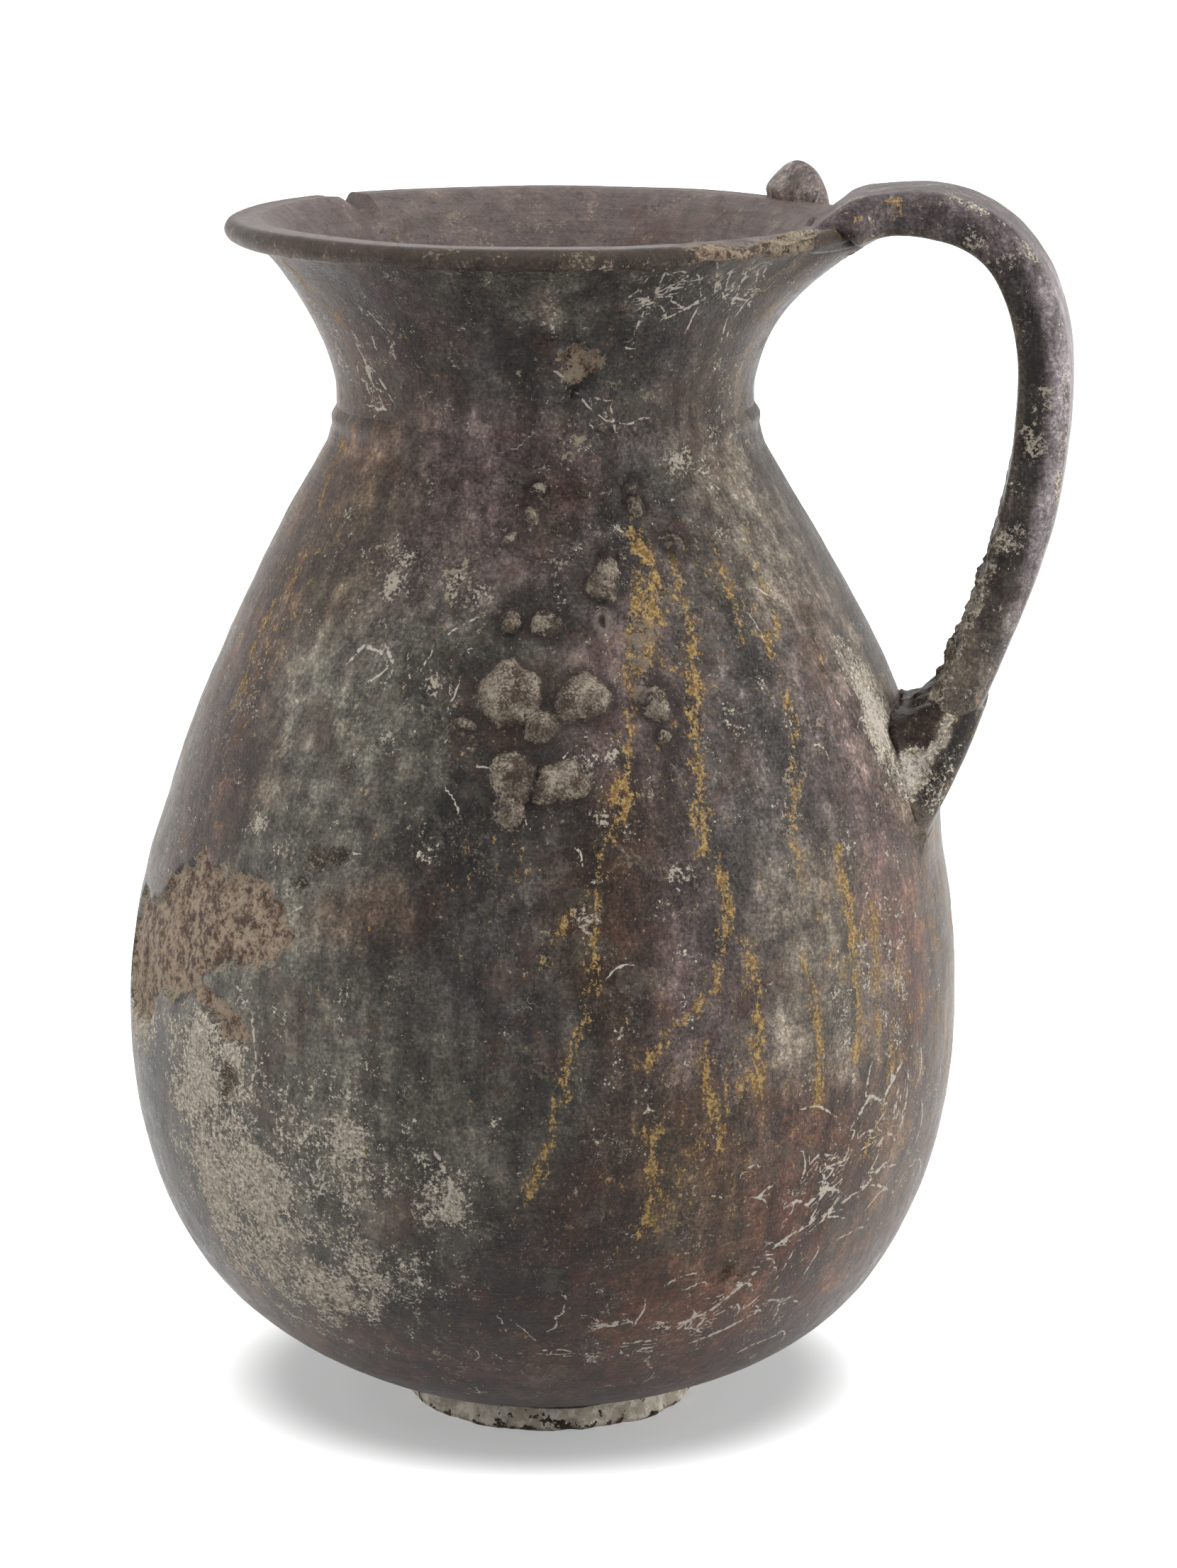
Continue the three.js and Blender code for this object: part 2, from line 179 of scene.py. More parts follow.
# Where the surfaces begin and end
LIP_END = 155.0  # the angle at which the lip's section ends, before its tuck
LIP_POINTS = 16
LIP_SPLIT = 5  # the point of the lip where the neck's outer face gives way to its top
INNER_CUT = 6  # so many points of the neck's inner face give way to the lip
CORE_FOOT = 60.0
CORE_TOP = 200.0
CORE_RADIUS = 30.0
CORE_GAP = 2.0
PATH_GAP = 0.8
BLOCK = 20000  # so many points are placed on the strap at a time
PROBE = 0.2
FILLET_SHARES = (0.35, 1.75)
FINE_TURNS = 3601
FRONT_FADE = 25.0
LIFT_HEIGHTS = (228, 246)
AXIS_GAP = 2  # the rows stop this far from the axis and close there
SEAT_POINTS = 6
JOINT_RISE = 4.0
SEAT_DROP = 2.5
FLOOR_RADIUS = 20
FLOOR_DIP = 1
ROOT_SWELL = 0.6
NEAR_ROOT_X = 55
NEAR_ROOT_HALF = 40
NEAR_ROOT_HEIGHTS = (100, 175)
NEAR_STRAP_X = 25
NEAR_STRAP_HALF = 50
NEAR_STRAP_HEIGHT = 218
LIP_GAP = 0.7
NECK_INNER_GAP = 1.2

# Damage on the rim
CHIP_ANGLE = 140.0
CHIP_HALF = 4.0
CHIP_DEPTH = 3.0
CHIP_EDGE = 1.2
CHIP_DROPS = (7, 1)
WORN_RIM_ANGLE = -41.0
WORN_RIM_HALF = 14.0
WORN_RIM_FADE = 4
WORN_RIM_WANDER = 6
WORN_RIM_REACH = (3.5, 1.0)
WORN_RIM_DROPS = (7.5, 4.5)
RAGGED = (0.7, 1.1, -0.3)  # the least wear, what the waves add to it and the least wave
RAGGED_SPALL = (0.6, 2.2)  # the wear at which bare clay shows, and how fast it deepens
NECK_CALM = 0.45  # so much less loose dust lies on the neck
INSIDE_GAP = (2.0, 4.0)
INSIDE_HEIGHTS = (246, 249)
LIP_TONE_REACH = (0.5, 1.2)
LIP_TONE_HEIGHTS = (243, 246)

# Surface of the handle, the clay at its root, the collar, the lobes and the foot
ROUGH = 0.8
END_GAP = 0.3
HANDLE_GAP = 0.8
FULL_START = (8, 30)
FULL_END = (40, 15)
LOW_SHARES = (0.55, 0.75)
HANDLE_SWELL = (0.3, 0.8, 0.4)  # at the sides, on the inner face and on the outer face
HANDLE_SLIM = 1.2
UNDER_START = (6, 16)
UNDER_END = (24, 44)
PINCH_LENGTH = 9
NEAR_RIM_LENGTH = 55
NEAR_ROOT_LENGTH = 50
CLEAR_LENGTH = (4, 12)
CROWN = 0.5
RING_COUNT = 112
CORNER_POINTS = 7
INNER_ROUND = 0.8
OUTER_ROUND = 1.1
CROWN_START = 0.9
HANDLE_CRUST = 2.4
HANDLE_CRUST_LIFT = 0.1
HANDLE_CRUST_DEPTH = (2.5, 4.5)
HANDLE_CRUST_FOOT = (146, 154)
HANDLE_CRUST_TOP = (170, 215)
ROOT_CLAY_GAP = 0.6
ROOT_CLAY_TUCK = (-0.6, -0.4)
ROOT_CLAY_RING = 150
ROOT_CLAY_FILLET = 4.0
ROOT_CRUST = 1.3
ROOT_CRUST_SIDE = (-0.2, 0.6)
ROOT_CRUST_HEIGHTS = (138, 146)
COLLAR_GAP = 0.8
COLLAR_START = 0.4
COLLAR_SINK = 0.15
COLLAR_DEEP = 1.2
COLLAR_RISE = (-0.05, 0.75)
COLLAR_FALL = (0.72, 1.03)
COLLAR_UNEVEN = 0.55
COLLAR_WAVE = 0.8
LOBE_RING = 90
LOBE_ROWS = (10, 40)  # below and above the middle of the lip
LOBE_TURN = (0.05, 0.03)
LOBE_FLARE_TOP = 3
LOBE_FLARE_CURVE = 1.5
LOBE_ROUGH = 0.6
FAR_LOBE_TURN = 1
FAR_LOBE_GROWTH = 1.08
FAR_LOBE_SHAPE = (2.2, 3.0)
STUMP_SHAPE = (0.4, 0.5)
STUMP_TOP = 0.9
STUMP_TILT = 0.4
STUMP_ROUGH = 0.8
FOOT_GAPS = (4, 0.5, 0.5)  # between the rows of the underside, the round edge and the side
FOOT_DISH_POINTS = 8
FOOT_WORN = (3, 0.5)
FOOT_BITE = (0.15, 2.2)  # the highest wave that counts, and the depth of the bites
FOOT_BITE_STRETCH = (1, 1, 0.5)
FOOT_BUMP = 0.25

# Where the marks and tones of single pieces lie
INNER_LIME = (3.0, 4.4)
INNER_LIME_HEIGHTS = (170, 210)
INNER_LIME_SHARE = 0.8
EDGE_LIME = (2.6, 4.2)
EDGE_LIME_SIDE = (8, 13)
EDGE_LIME_SHARE = 0.6
# Where the painted sheen lies on the strap's outer face, narrower lower down
LOWER_HEIGHTS = (150, 200)
LOWER_SHIFT = 1.8
OUTER_SHEEN_DEPTH = (-0.6, 2.4)
INNER_EDGE = (3.2, 4.8)
INNER_EDGE_SHARE = 0.6
ARCH_HEIGHTS = (232, 252)
STRAP_TONE_HEIGHTS = (150, 190)
STRAP_BARE_HEIGHT = 175
ROOT_LIME = (0.3, 1.5)
ROOT_LIME_SIDE = (-2.0, 2.0)
ROOT_LIME_HEIGHTS = (126, 134)
CROTCH_WANDER = 3
CROTCH_HEIGHTS = (142, 147)
CROTCH_DEPTH = (1.0, 3.0)
ROOT_DARK_DEPTH = (-0.5, 1.5)
ROOT_DARK_HEIGHTS = (128, 138)
ROOT_DARK_SIDE = (8, 15)
STUMP_FIELDS = {"spall": 0.1, "cream": 0.8, "ochre": 0.9}
FOOT_LIME = (0.25, 0.6)
FOOT_LIME_HEIGHTS = (0.5, 2.5)

# Marks on the surface: azimuth, height, radius
LIME_LUMPS = (
    (-88.5, 164, 5.8), (-83.5, 158, 3.4), (-88, 149, 4.8), (-88, 143, 3.6), (-81, 148, 5.0), (-77, 163, 4.8),
    (-65, 162, 3.6), (-82, 177, 2.6), (-89, 177, 2.4), (-72, 183, 3.0), (-70, 187, 2.4), (-61, 198, 2.3),
    (-61, 202, 1.5), (-85, 196, 1.8),
    (-84, 201, 1.5), (-77, 194, 1.4), (-64, 155, 1.6), (-54, 190, 2.6), (-96, 158, 2.2), (-91, 192, 1.5),
    (35, 132, 4.0), (41, 126, 3.0), (118, 168, 3.6), (124, 162, 2.4), (170, 70, 4.2),
)
RINGS = (
    (-72, 177, 2.4), (-65, 174, 2.5), (-66, 169, 1.7), (-67, 164, 1.9), (-78, 170, 1.6), (112, 160, 2.0),
)
PITS = (
    (-117, 131, 2.6), (-114, 132, 1.9), (-119, 126, 1.8), (-128, 84, 2.4), (-114, 148, 1.0), (-56, 48, 1.0),
    (-53, 47, 0.8), (60, 150, 2.2), (150, 110, 2.6),
)
CREAM_SPOTS = (
    (-130, 135, 2.6), (-114, 183, 2.8), (-112, 187, 1.8), (-73, 153, 1.8), (-75, 141, 1.8), (-64, 131, 1.8),
    (-77, 122, 2.0), (-46, 205, 2.4), (-102, 165, 1.6), (-109, 154, 1.6), (-101, 184, 1.6), (-95, 181, 1.5),
    (88, 140, 2.2), (140, 190, 2.6), (30, 80, 2.4),
)
# Broken places: closed outlines of azimuth and height
SPALLS = (
    (
        (-150, 118), (-141, 127), (-134, 124), (-127, 126), (-121, 121), (-119, 116), (-122, 110),
        (-128, 107), (-134, 107), (-136, 101), (-139, 97), (-146, 96), (-150, 90), (-158, 87),
        (-166, 92), (-170, 104), (-163, 114), (-156, 113),
    ),
    ((-137, 104), (-131, 101), (-126, 97), (-124, 92), (-128, 92), (-132, 96), (-136, 99)),
    ((-79, 227), (-75, 229), (-70, 227), (-69, 224), (-73, 222), (-75, 220), (-78, 223)),
    ((100, 92), (112, 96), (122, 90), (120, 80), (108, 76), (99, 82)),
)
# Runs of ochre: azimuth and height of each bend, then half the width
DRIPS = (
    ((-151, 206), (-149, 198), (-143, 190), (-142, 180), 1.0),
    ((-146, 176), (-147, 165), (-146, 155), 1.2),
    ((-62, 192), (-60, 184), (-64, 175), (-66, 168), 2.6),
    ((-63, 186), (-68, 172), (-69, 160), (-71, 148), (-74, 142), 1.6),
    ((-55, 187), (-55, 176), (-57, 167), (-57, 160), 1.7),
    ((-58, 166), (-59, 147), (-60, 134), 1.6),
    ((-61, 141), (-58, 133), (-57, 122), (-59, 108), (-64, 102), (-69, 95), 1.6),
    ((-70, 145), (-75, 135), (-76, 120), (-77, 103), (-79, 96), (-80, 86), (-81, 79), (-84, 68), 1.5),
    ((-77, 129), (-80, 121), (-84, 112), 1.0),
    ((-44, 191), (-44, 182), (-45, 172), 1.0),
    ((-33, 191), (-35, 182), (-36, 172), 1.0),
    ((-40, 172), (-39, 163), (-40, 155), (-43, 145), (-45, 134), (-44, 124), 1.4),
    ((-26, 175), (-27, 168), (-29, 161), 0.8),
    ((-54, 116), (-53, 100), (-53, 84), 1.8),
    ((-61, 97), (-60, 88), (-58, 76), 1.9),
    ((-45, 111), (-43, 97), (-43, 82), 1.7),
    ((-37, 130), (-36, 116), (-36, 89), 1.9),
    ((-31, 118), (-31, 104), (-32, 94), 1.6),
    ((-68, 80), (-67, 68), (-69, 58), 1.6),
    ((-27, 96), (-29, 80), (-33, 66), 1.4),
    ((-148, 242), (-144, 237), (-140, 232), 1.8),
    ((42, 180), (44, 150), (43, 120), 1.2),
    ((128, 150), (130, 120), (127, 96), 1.3),
)
# Marks on the near face of the handle: a place in millimetres and a radius
HANDLE_CRUMBS = (
    (100.8, -14, 207.9, 2.1), (99.5, -14, 189.2, 1.3), (97.5, -14, 188.3, 1.3), (95.6, -14, 187.8, 1.2),
    (104.2, -14, 218, 1.6), (103.9, -14, 214, 1.2), (88.9, -14, 247.8, 1.4), (94.6, -14, 243.2, 1.0),
)
HANDLE_OCHRE = (
    (61.5, -22, 249.5, 3.2), (66.0, -18, 252.0, 2.0), (72.6, -14, 253.6, 2.0), (77.0, -14, 254.5, 1.2),
)
# Broad zones: azimuth, height, spread round the jug, spread up and down, strength
CREAM_ZONES = (
    (-129, 60, 15, 22, 1.32), (-119, 42, 14, 11, 1.15), (-134, 84, 10, 15, 1.35), (-158, 88, 12, 8, 1.10),
    (-111, 72, 9, 18, 0.84), (-94, 67, 5, 10, 0.72), (-106, 50, 9, 12, 0.80), (-28, 98, 12, 22, 0.28),
    (-17, 153, 6, 13, 1.6), (-12, 140, 6, 8, 1.4),
    (-120, 190, 14, 14, 0.06), (-146, 226, 12, 12, 0.36), (-90, 238, 13, 6, 0.40), (-24, 222, 12, 14, 0.35),
    (150, 60, 36, 26, 0.75), (60, 110, 24, 30, 0.40), (175, 200, 20, 14, 0.45),
)
OCHRE_ZONES = (
    (-26, 92, 10, 26, 0.80), (-54, 84, 12, 20, 0.62), (-40, 112, 10, 22, 0.66), (-62, 168, 9, 22, 0.70),
    (-44, 176, 9, 22, 0.60), (-143, 172, 9, 26, 0.70), (-150, 205, 8, 12, 0.60), (-88, 134, 9, 6, 0.60),
    (-72, 66, 10, 14, 0.35), (-66, 68, 5, 14, 1.0), (-56, 78, 6, 22, 0.85), (-10, 110, 10, 40, 0.50),
    (-14, 220, 10, 10, 0.50), (124, 120, 20, 34, 0.55),
    (40, 130, 16, 40, 0.45),
)
FLAKE_ZONES = (
    (-104, 181, 20, 9, 1.3), (-84, 188, 14, 14, 1.3), (-66, 184, 14, 18, 1.2), (-148, 160, 12, 34, 1.0),
    (-66, 212, 12, 5, 0.7), (-108, 160, 16, 12, 0.8), (-30, 150, 20, 30, 0.7), (-110, 232, 20, 8, 0.6),
    (-14, 70, 16, 30, 0.7), (90, 170, 40, 24, 0.8),
)
# Long root marks, each given by the azimuth and height of its bends
ROOT_STROKES = (
    ((-79, 224), (-75, 221), (-71, 217), (-66, 214), (-60, 213), (-55, 214)),
    ((-49, 51), (-45, 54), (-41, 56), (-36, 58), (-31, 60), (-27, 64)),
    ((-46, 62), (-43, 60), (-40, 63), (-37, 61)), ((-41, 66), (-39, 61)),
    ((-36, 75), (-33, 80), (-30, 78), (-26, 84)),
    ((-65, 36), (-60, 37), (-56, 39), (-53, 43), (-50, 47)), ((-57, 31), (-52, 33), (-47, 36)),
    ((-70, 33), (-64, 33)),
    ((-48, 23), (-43, 26), (-38, 27)), ((-30, 68), (-27, 72), (-26, 79)), ((-74, 38), (-70, 39)),
    ((-62, 241), (-60, 236), (-61, 231)), ((-50, 243), (-46, 238), (-47, 232)),
    ((-42, 243), (-40, 238), (-35, 235)),
    ((-34, 243), (-31, 239), (-26, 238)), ((-54, 238), (-49, 236), (-44, 239), (-39, 240)),
    ((-36, 236), (-34, 229)),
    ((-137, 233), (-134, 226), (-135, 220), (-131, 215)), ((-112, 171), (-110, 168), (-111, 164)),
    ((-119, 168), (-117, 171), (-113, 170)), ((-124, 98), (-123, 90), (-124, 84)),
    ((-96, 76), (-94, 70), (-95, 65)),
)
# Short root marks: azimuth, height, spread round, spread up and down, how many, length, slope in degrees
ROOT_ZONES = (
    (-42, 240, 15, 6, 22, 7.0, 80), (-60, 237, 14, 6, 10, 5.0, 20), (-40, 62, 15, 11, 26, 6.0, 35),
    (-28, 76, 10, 12, 12, 6.0, 60), (-55, 38, 20, 9, 30, 4.5, 10), (-78, 36, 16, 8, 12, 4.0, 0),
    (-72, 215, 12, 5, 4, 4.0, -50), (-106, 165, 14, 16, 8, 4.0, 60), (-130, 224, 10, 10, 8, 5.0, -70),
    (-128, 110, 16, 16, 6, 4.0, 70), (-30, 140, 14, 20, 8, 5.0, 90), (-84, 130, 20, 30, 6, 3.5, 80),
    (-120, 60, 18, 20, 10, 4.0, 90), (90, 190, 50, 24, 26, 7.0, 60), (160, 120, 40, 40, 26, 7.0, 30),
    (60, 60, 40, 24, 24, 8.0, 10),
)

# Colours of the fired clay
SOOT = "#272320"
SLATE = "#4c4845"
MOSS = "#747065"
OLIVE = "#5f5443"
UMBER = "#615140"
BROWN = "#4b3627"
RUST = "#5e3b2f"
PLUM = "#48342e"
MAUVE = "#70605e"
# A pale ash grey, also laid as painted sheen on the right of the body
ASH_AND_SHEEN = "#928779"
TAN = "#7a6252"
# Azimuth, height, spread round, spread up and down, colour, strength
# The ash zones on the right of the shoulder and belly (azimuths -38, -16 and -8) are partly the clay's grey
# and partly painted sheen along the right side
TONES = (
    (-166, 228, 14, 16, BROWN, 1.3), (-142, 228, 12, 15, BROWN, 1.5), (-118, 230, 12, 15, PLUM, 0.9),
    (-118, 236, 10, 6, MAUVE, 0.7), (-92, 228, 18, 14, SLATE, 0.9), (-94, 222, 20, 8, SOOT, 0.15),
    (-84, 239, 16, 6, MOSS, 0.5), (-52, 226, 18, 14, SLATE, 1.1), (-60, 232, 12, 8, SOOT, 0.5),
    (-26, 226, 13, 15, UMBER, 1.0), (-85, 206, 26, 5, MAUVE, 1.0), (-150, 190, 13, 20, TAN, 1.6),
    (-126, 190, 14, 14, UMBER, 1.2), (-106, 192, 12, 12, MAUVE, 1.2), (-108, 178, 12, 8, SLATE, 0.9),
    (-87, 196, 11, 9, MAUVE, 1.1), (-78, 199, 7, 5, RUST, 1.0), (-60, 192, 14, 14, SLATE, 1.5),
    (-38, 190, 13, 18, ASH_AND_SHEEN, 1.3), (-16, 184, 13, 26, ASH_AND_SHEEN, 2.0), (-166, 155, 12, 30, UMBER, 1.2),
    (-144, 158, 10, 26, PLUM, 2.2), (-124, 155, 12, 26, MOSS, 1.8), (-107, 160, 10, 20, MOSS, 1.0),
    (-97, 148, 9, 22, SOOT, 1.8), (-92, 172, 10, 14, MOSS, 0.5), (-64, 164, 12, 18, MAUVE, 0.9),
    (-46, 162, 12, 24, SLATE, 1.2), (-26, 150, 12, 22, MAUVE, 1.1), (-8, 150, 12, 24, ASH_AND_SHEEN, 0.9),
    (-134, 140, 10, 10, BROWN, 0.9), (-117, 112, 12, 18, MOSS, 1.3), (-106, 123, 6, 6, TAN, 2.4),
    (-90, 124, 9, 22, SLATE, 0.8), (-100, 130, 7, 18, SOOT, 2.3), (-70, 120, 8, 22, BROWN, 1.4),
    (-58, 108, 8, 20, MAUVE, 1.2), (-50, 128, 9, 14, SLATE, 0.9), (-40, 110, 9, 18, ASH_AND_SHEEN, 1.4),
    (-24, 112, 9, 26, RUST, 0.9), (-10, 100, 10, 34, UMBER, 1.1), (-154, 60, 14, 24, SOOT, 1.8),
    (-126, 66, 14, 22, MOSS, 1.3), (-104, 78, 12, 20, MOSS, 0.8), (-94, 92, 7, 16, SOOT, 0.5),
    (-86, 86, 8, 16, MOSS, 0.6), (-88, 98, 8, 16, SLATE, 1.2),
    (-94, 44, 16, 12, SOOT, 2.4), (-76, 62, 9, 18, PLUM, 0.9), (-76, 60, 9, 18, SOOT, 0.8),
    (-60, 66, 10, 16, UMBER, 1.1),
    (-42, 62, 13, 16, RUST, 0.9), (-22, 62, 12, 24, UMBER, 0.8), (-18, 60, 12, 22, PLUM, 0.5),
    (-58, 38, 20, 10, RUST, 1.5), (-58, 38, 20, 10, BROWN, 2.6),
    (-50, 28, 22, 9, PLUM, 1.2), (-86, 22, 34, 8, PLUM, 2.2), (-90, 20, 34, 7, SOOT, 1.3),
    (-122, 30, 18, 9, PLUM, 1.0), (-122, 30, 18, 9, BROWN, 1.8), (90, 130, 40, 50, SLATE, 1.0),
    (60, 60, 40, 26, BROWN, 1.1),
    (140, 190, 40, 26, OLIVE, 1.0), (160, 80, 36, 40, MOSS, 1.0), (30, 150, 24, 40, PLUM, 0.9),
    (120, 40, 40, 20, RUST, 0.8),
)
INSIDE_TONE = "#796c68"
HANDLE_TONE = "#35312e"
# The strap's outer face: its mauve clay, lightened with a painted sheen
STRAP_OUTER_SHEEN = "#9c9194"
ARCH_TONE = "#695e5f"
# The far lobe's clay, lightened as painted light for the light falling on its top
LOBE_LIT_TONE = "#998c87"
LIP_TONE = "#4f443b"
# The crotch between the strap's root and the body: dark crust, deepened with painted shade where the two
# meet
CROTCH_CRUST_SHADE = "#352a22"
FOOT_TONE = "#54473b"

# Colours of what lies on the clay, and of the shade and highlights painted with it
PORE_GRAIN = "#8b7f72"
LOOSE_FLAKE = "#b0a48f"
BRIGHT_SPECK = "#b9b1a6"
FILM_DARK = "#686660"
FILM_PALE = "#8b8579"
LIME_SHADE = "#b3a899"
LIME_LIGHT = "#ece2d0"
LIME_THICK = "#d8cec2"
CRACK_DARK = "#2f2925"
GAP_DARK = "#3f3832"
OCHRE_DEEP = "#8c6f42"
OCHRE_PALE = "#cbab72"
OCHRE_STAIN = "#5b432c"
CREAM_CRUMB = "#cbc0af"
# Painted shade: the dark halo laid round each lime lump
LUMP_RIM_SHADE = "#29221e"
CRUST_DARK = "#65574c"
CRUST_MIDDLE = "#908375"
CRUST_PALE = "#c8bca9"
CRUST_PORE = "#382d26"
RING_DARK = "#2a2421"
RING_PALE = "#8d8176"
BROKEN_DARK = "#645047"
BROKEN_PALE = "#cdb59d"
BROKEN_CHALK = "#c2b49e"
BROKEN_HOLE = "#3d3029"
# Painted highlight: the pale band along the edge of each break
BROKEN_EDGE_HIGHLIGHT = "#b8ab95"
PIT_DARK = "#2b231d"
PIT_CRUMB = "#a3977f"
ROOT_WHITE = "#d9cfc1"
WASH_DULL = "#cfc3b0"
# Near white: the limewash's pale tone pushed up as painted light, standing in for the light the floor throws
# onto the foot
WASH_BRIGHT_LIT = "#fff6e6"

# Marks in general
BOLD_ROOT = 0.22  # how much wider the long root marks are
MARK_REACH = 3.5  # marks lie on the wall, no further from it than this
OUTSIDE = -9.0  # the depth of a point that is far from any mark
FIELD_REACH = 6.0  # the depth in millimetres at which a mark's field is full
PATCH_REACH = 40  # a broken place is looked for within this many degrees and millimetres
STROKE_SEED = 7
STROKE_SCATTER = 0.6  # how the short root marks vary: place, course, bend and length
STROKE_TURN = 35
STROKE_BEND = 0.16
STROKE_JITTER = 0.22
STROKE_STEPS = (3, 4)
STROKE_LENGTHS = (0.4, 1.2)
STROKE_ENDS = (FOOT_HEIGHT + 3, RIM_HEIGHT - 4)

# Waves in the surface: size in millimetres, octaves, seed
SWELLS = (34, 2, 3)
STREAKS = (5, 2, 9)
BUMPS = (3.0, 2, 5)
GRAINS = (1.8, 2, 33)
SPALL_WAVES = (5, 3, 41)
COLLAR_WAVES = (16, 3, 61)
ROOT_CRUST_WAVES = (3.5, 3, 71)
STUMP_WAVES = (3.0, 3, 81)
FOOT_BITES = (7, 3, 91)
FOOT_BUMPS = (2.0, 2, 93)
TONE_SHIFTS = (26, 2, 101)
TONE_DROPS = (24, 2, 111)
TONE_BANDS = (9, 3, 121)
TONE_SMOKE = (16, 3, 131)
WEAR_WAVES = (6, 2, 141)
RAGGED_WAVES = (4, 3, 151)
HANDLE_CRUST_WAVES = (3.0, 3, 161)
CROTCH_WAVES = (5, 2, 171)
DARK_WAVES = (4, 2, 181)
# How marks are bent out of shape: size, amount, seed
MARK_WARP = (5, 2.2, 21)
SPOT_WARP = (3, 2.6, 25)
CRUMB_WARP = (3, 2.2, 25)
DRIP_WARP = (7, 0.8, 27)
# Heights and depths of the waves and marks
SWELL_HEIGHT = 0.45
STREAK_HEIGHT = 0.10
STREAK_STRETCH = (0.25, 0.25, 1)
BUMP_HEIGHT = 0.06
LUMP_RISE = 2.1
LUMP_GRAIN = 0.45
LUMP_RING = (0.22, 1.18, 0.16)  # depth in millimetres, then middle and width in lump radii
RING_RISE = (0.8, 0.5, 0.7)  # height, middle and width
SPALL_DEPTH = 1.2
SPALL_ROUGHNESS = 0.5
SPALL_GRAIN = 0.4
SPALL_EDGE = (-0.4, 0.6)
SPALL_FLOOR = (0.0, 0.8)
PIT_DEPTH = 1.3
PIT_EDGE = (-0.6, 1.0)
# How the clay's tones run into one another
PLAIN_TONE = 0.12
TONE_SHIFT = 7
TONE_DROP = 9
BAND_STRETCH = (1, 1, 0.22)
BAND_DEPTH = 0.75
SMOKE_DEPTH = 0.6

# Noises of the materials: size in millimetres, octaves, roughness and stretch
ACROSS = (0.3, 0.3, 6)
DOWN = (1, 1, 0.22)
PLAIN_NOISE_SPREAD = 0.125  # the standard deviation of one octave of the noise node
LAYER_SHIFT = (0.173, 0.091, -0.137)
MOTTLE = (6, 6, 0.68)
GRIT = (0.75, 4, 0.70)
DOWN_STROKES = (4, 5, 0.66, DOWN)
CROSS_STROKES = (7, 4, 0.6, ACROSS)
SMOKE_WAVES = (6, 0.72)  # without the size
PORES = (0.9, 4, 0.74)
DRIFT = (9, 4, 0.65)
FLAKES = (1.6, 5, 0.74)
FLAKE_DRIFT = (12, 3, 0.6)
SPECKS = (0.7, 1, 0.5)
TRAILS = (9, 5, 0.66, DOWN)
CLOTS = (6, 5, 0.75)
FILM_GRAIN = (0.9, 3, 0.8)
FILM_CLOUDS = (9, 4, 0.66)
LIME_CRUMBS = (0.8, 4, 0.8)
LIME_CRACKS = (2.0, 3, 0.6)
LIME_GAPS = (1.5, 4, 0.78)
OCHRE_FLECKS = (1.35, 4, 0.68, (1, 1, 0.28))
OCHRE_GRAIN = (0.6, 3, 0.7)
LIME_GRAIN = (0.9, 4, 0.72)
CURD_FINE = (0.55, 4, 0.8)
CURD_BROAD = (3.5, 3, 0.6)
BROKEN_GRAIN = (1.1, 4, 0.76)
BROKEN_ROUGH = (3.5, 5, 0.78)
CHALK = (4, 6, 0.80)
HOLES = (1.0, 3, 0.8)
HIGHLIGHT_GAPS = (5, 4, 0.6)
ROOT_WAVES = (1.4, 3, 0.6)
ROOT_GAPS = (2.2, 4, 0.65)
ROOT_CURLS = (2.8, 2, 0.5)
WASH_CHIPS = (4, 5, 0.70)
WASH_CLOUDS = (4, 6, 0.72)

# Weights of the values that are added, in the order of the values
CLAY_SHADE = (0.23, 0.28, 0.22, -0.12)
INSIDE_CALM = (-0.7, 1.0)
CROSS_SHADE = (1.0, 0.05, -0.04)
CLAY_MATT = (0.03, 0.04)
CLAY_HEIGHT = (0.035, 0.020, 0.015, 0.012)
SMOKE_MIX = (1.0, 0.3, -0.6)
PORE_MIX = (1.0, 0.65, 0.6, -2.0)
FLAKE_MIX = (1.0, 0.7, 1.0)
THICK_MIX = (5.0, 0.90, 0.60)
FILM_MIX = (1.0, 1.0)
LIME_MIX = (0.9, 0.8)
TORN_MIX = (0.9, 0.45, 0.75)
DRIP_MIX = (8.4, 1.0)
STAIN_MIX = (2.3, 1.0)
BROWN_MIX = (4.0, 1.2, 0.7, 0.5)
SPOT_MIX = (5.4, 0.7, 0.6)
LUMP_MIX = (6.0, 0.25, 0.30)
LUMP_HEIGHT = (1.0, 0.06)
CURD_MIX = (0.85, 0.65)
BAND_MIX = (5.0, 0.4)
BREAK_MIX = (6.0, 0.35, 0.45)
BREAK_HEIGHT = (1.0, 0.09)
ROUGH_MIX = (0.6, 0.8)
CHALK_MIX = (1.0, 1.2)
PIT_MIX = (6.0, 0.7)
ROOT_MIX = (FIELD_REACH, 0.07)
CURL_MIX = (1.0, 0.4, -3.0)
WASH_MIX = (1.0, 0.2, 2.6)

# Steps: where each begins, where it is full and how strong it is then
INSIDE_STEP = (-0.5, -1.0)
PORE_STEP = (2.3, 2.9, 0.60)
FLAKE_STEP = (3.1, 3.4, 0.85)
SPECK_STEP = (2.9, 3.2, 0.8)
TINT_STEP = (-0.8, 0.8)
FILM_STEP = (3.2, 4.6, 0.55)
CRUMB_STEP = (-0.5, 1.8)
THICK_STEP = (1.3, 1.5)
LIME_STEP = (3.0, 3.7, 0.95)
CRACK_STEP = (0.15, 0.04)
CRACKED_STEP = (2.4, 3.6, 0.85)
GAP_STEP = (0.8, 1.3)
GAPPED_STEP = (2.2, 3.4, 0.55)
DRIP_STEP = (1.3, 1.8)
STAIN_STEP = (3.3, 3.8)
YELLOW_STEP = (-0.9, 1.0)
BROWN_STEP = (0.7, 2.0, 0.40)
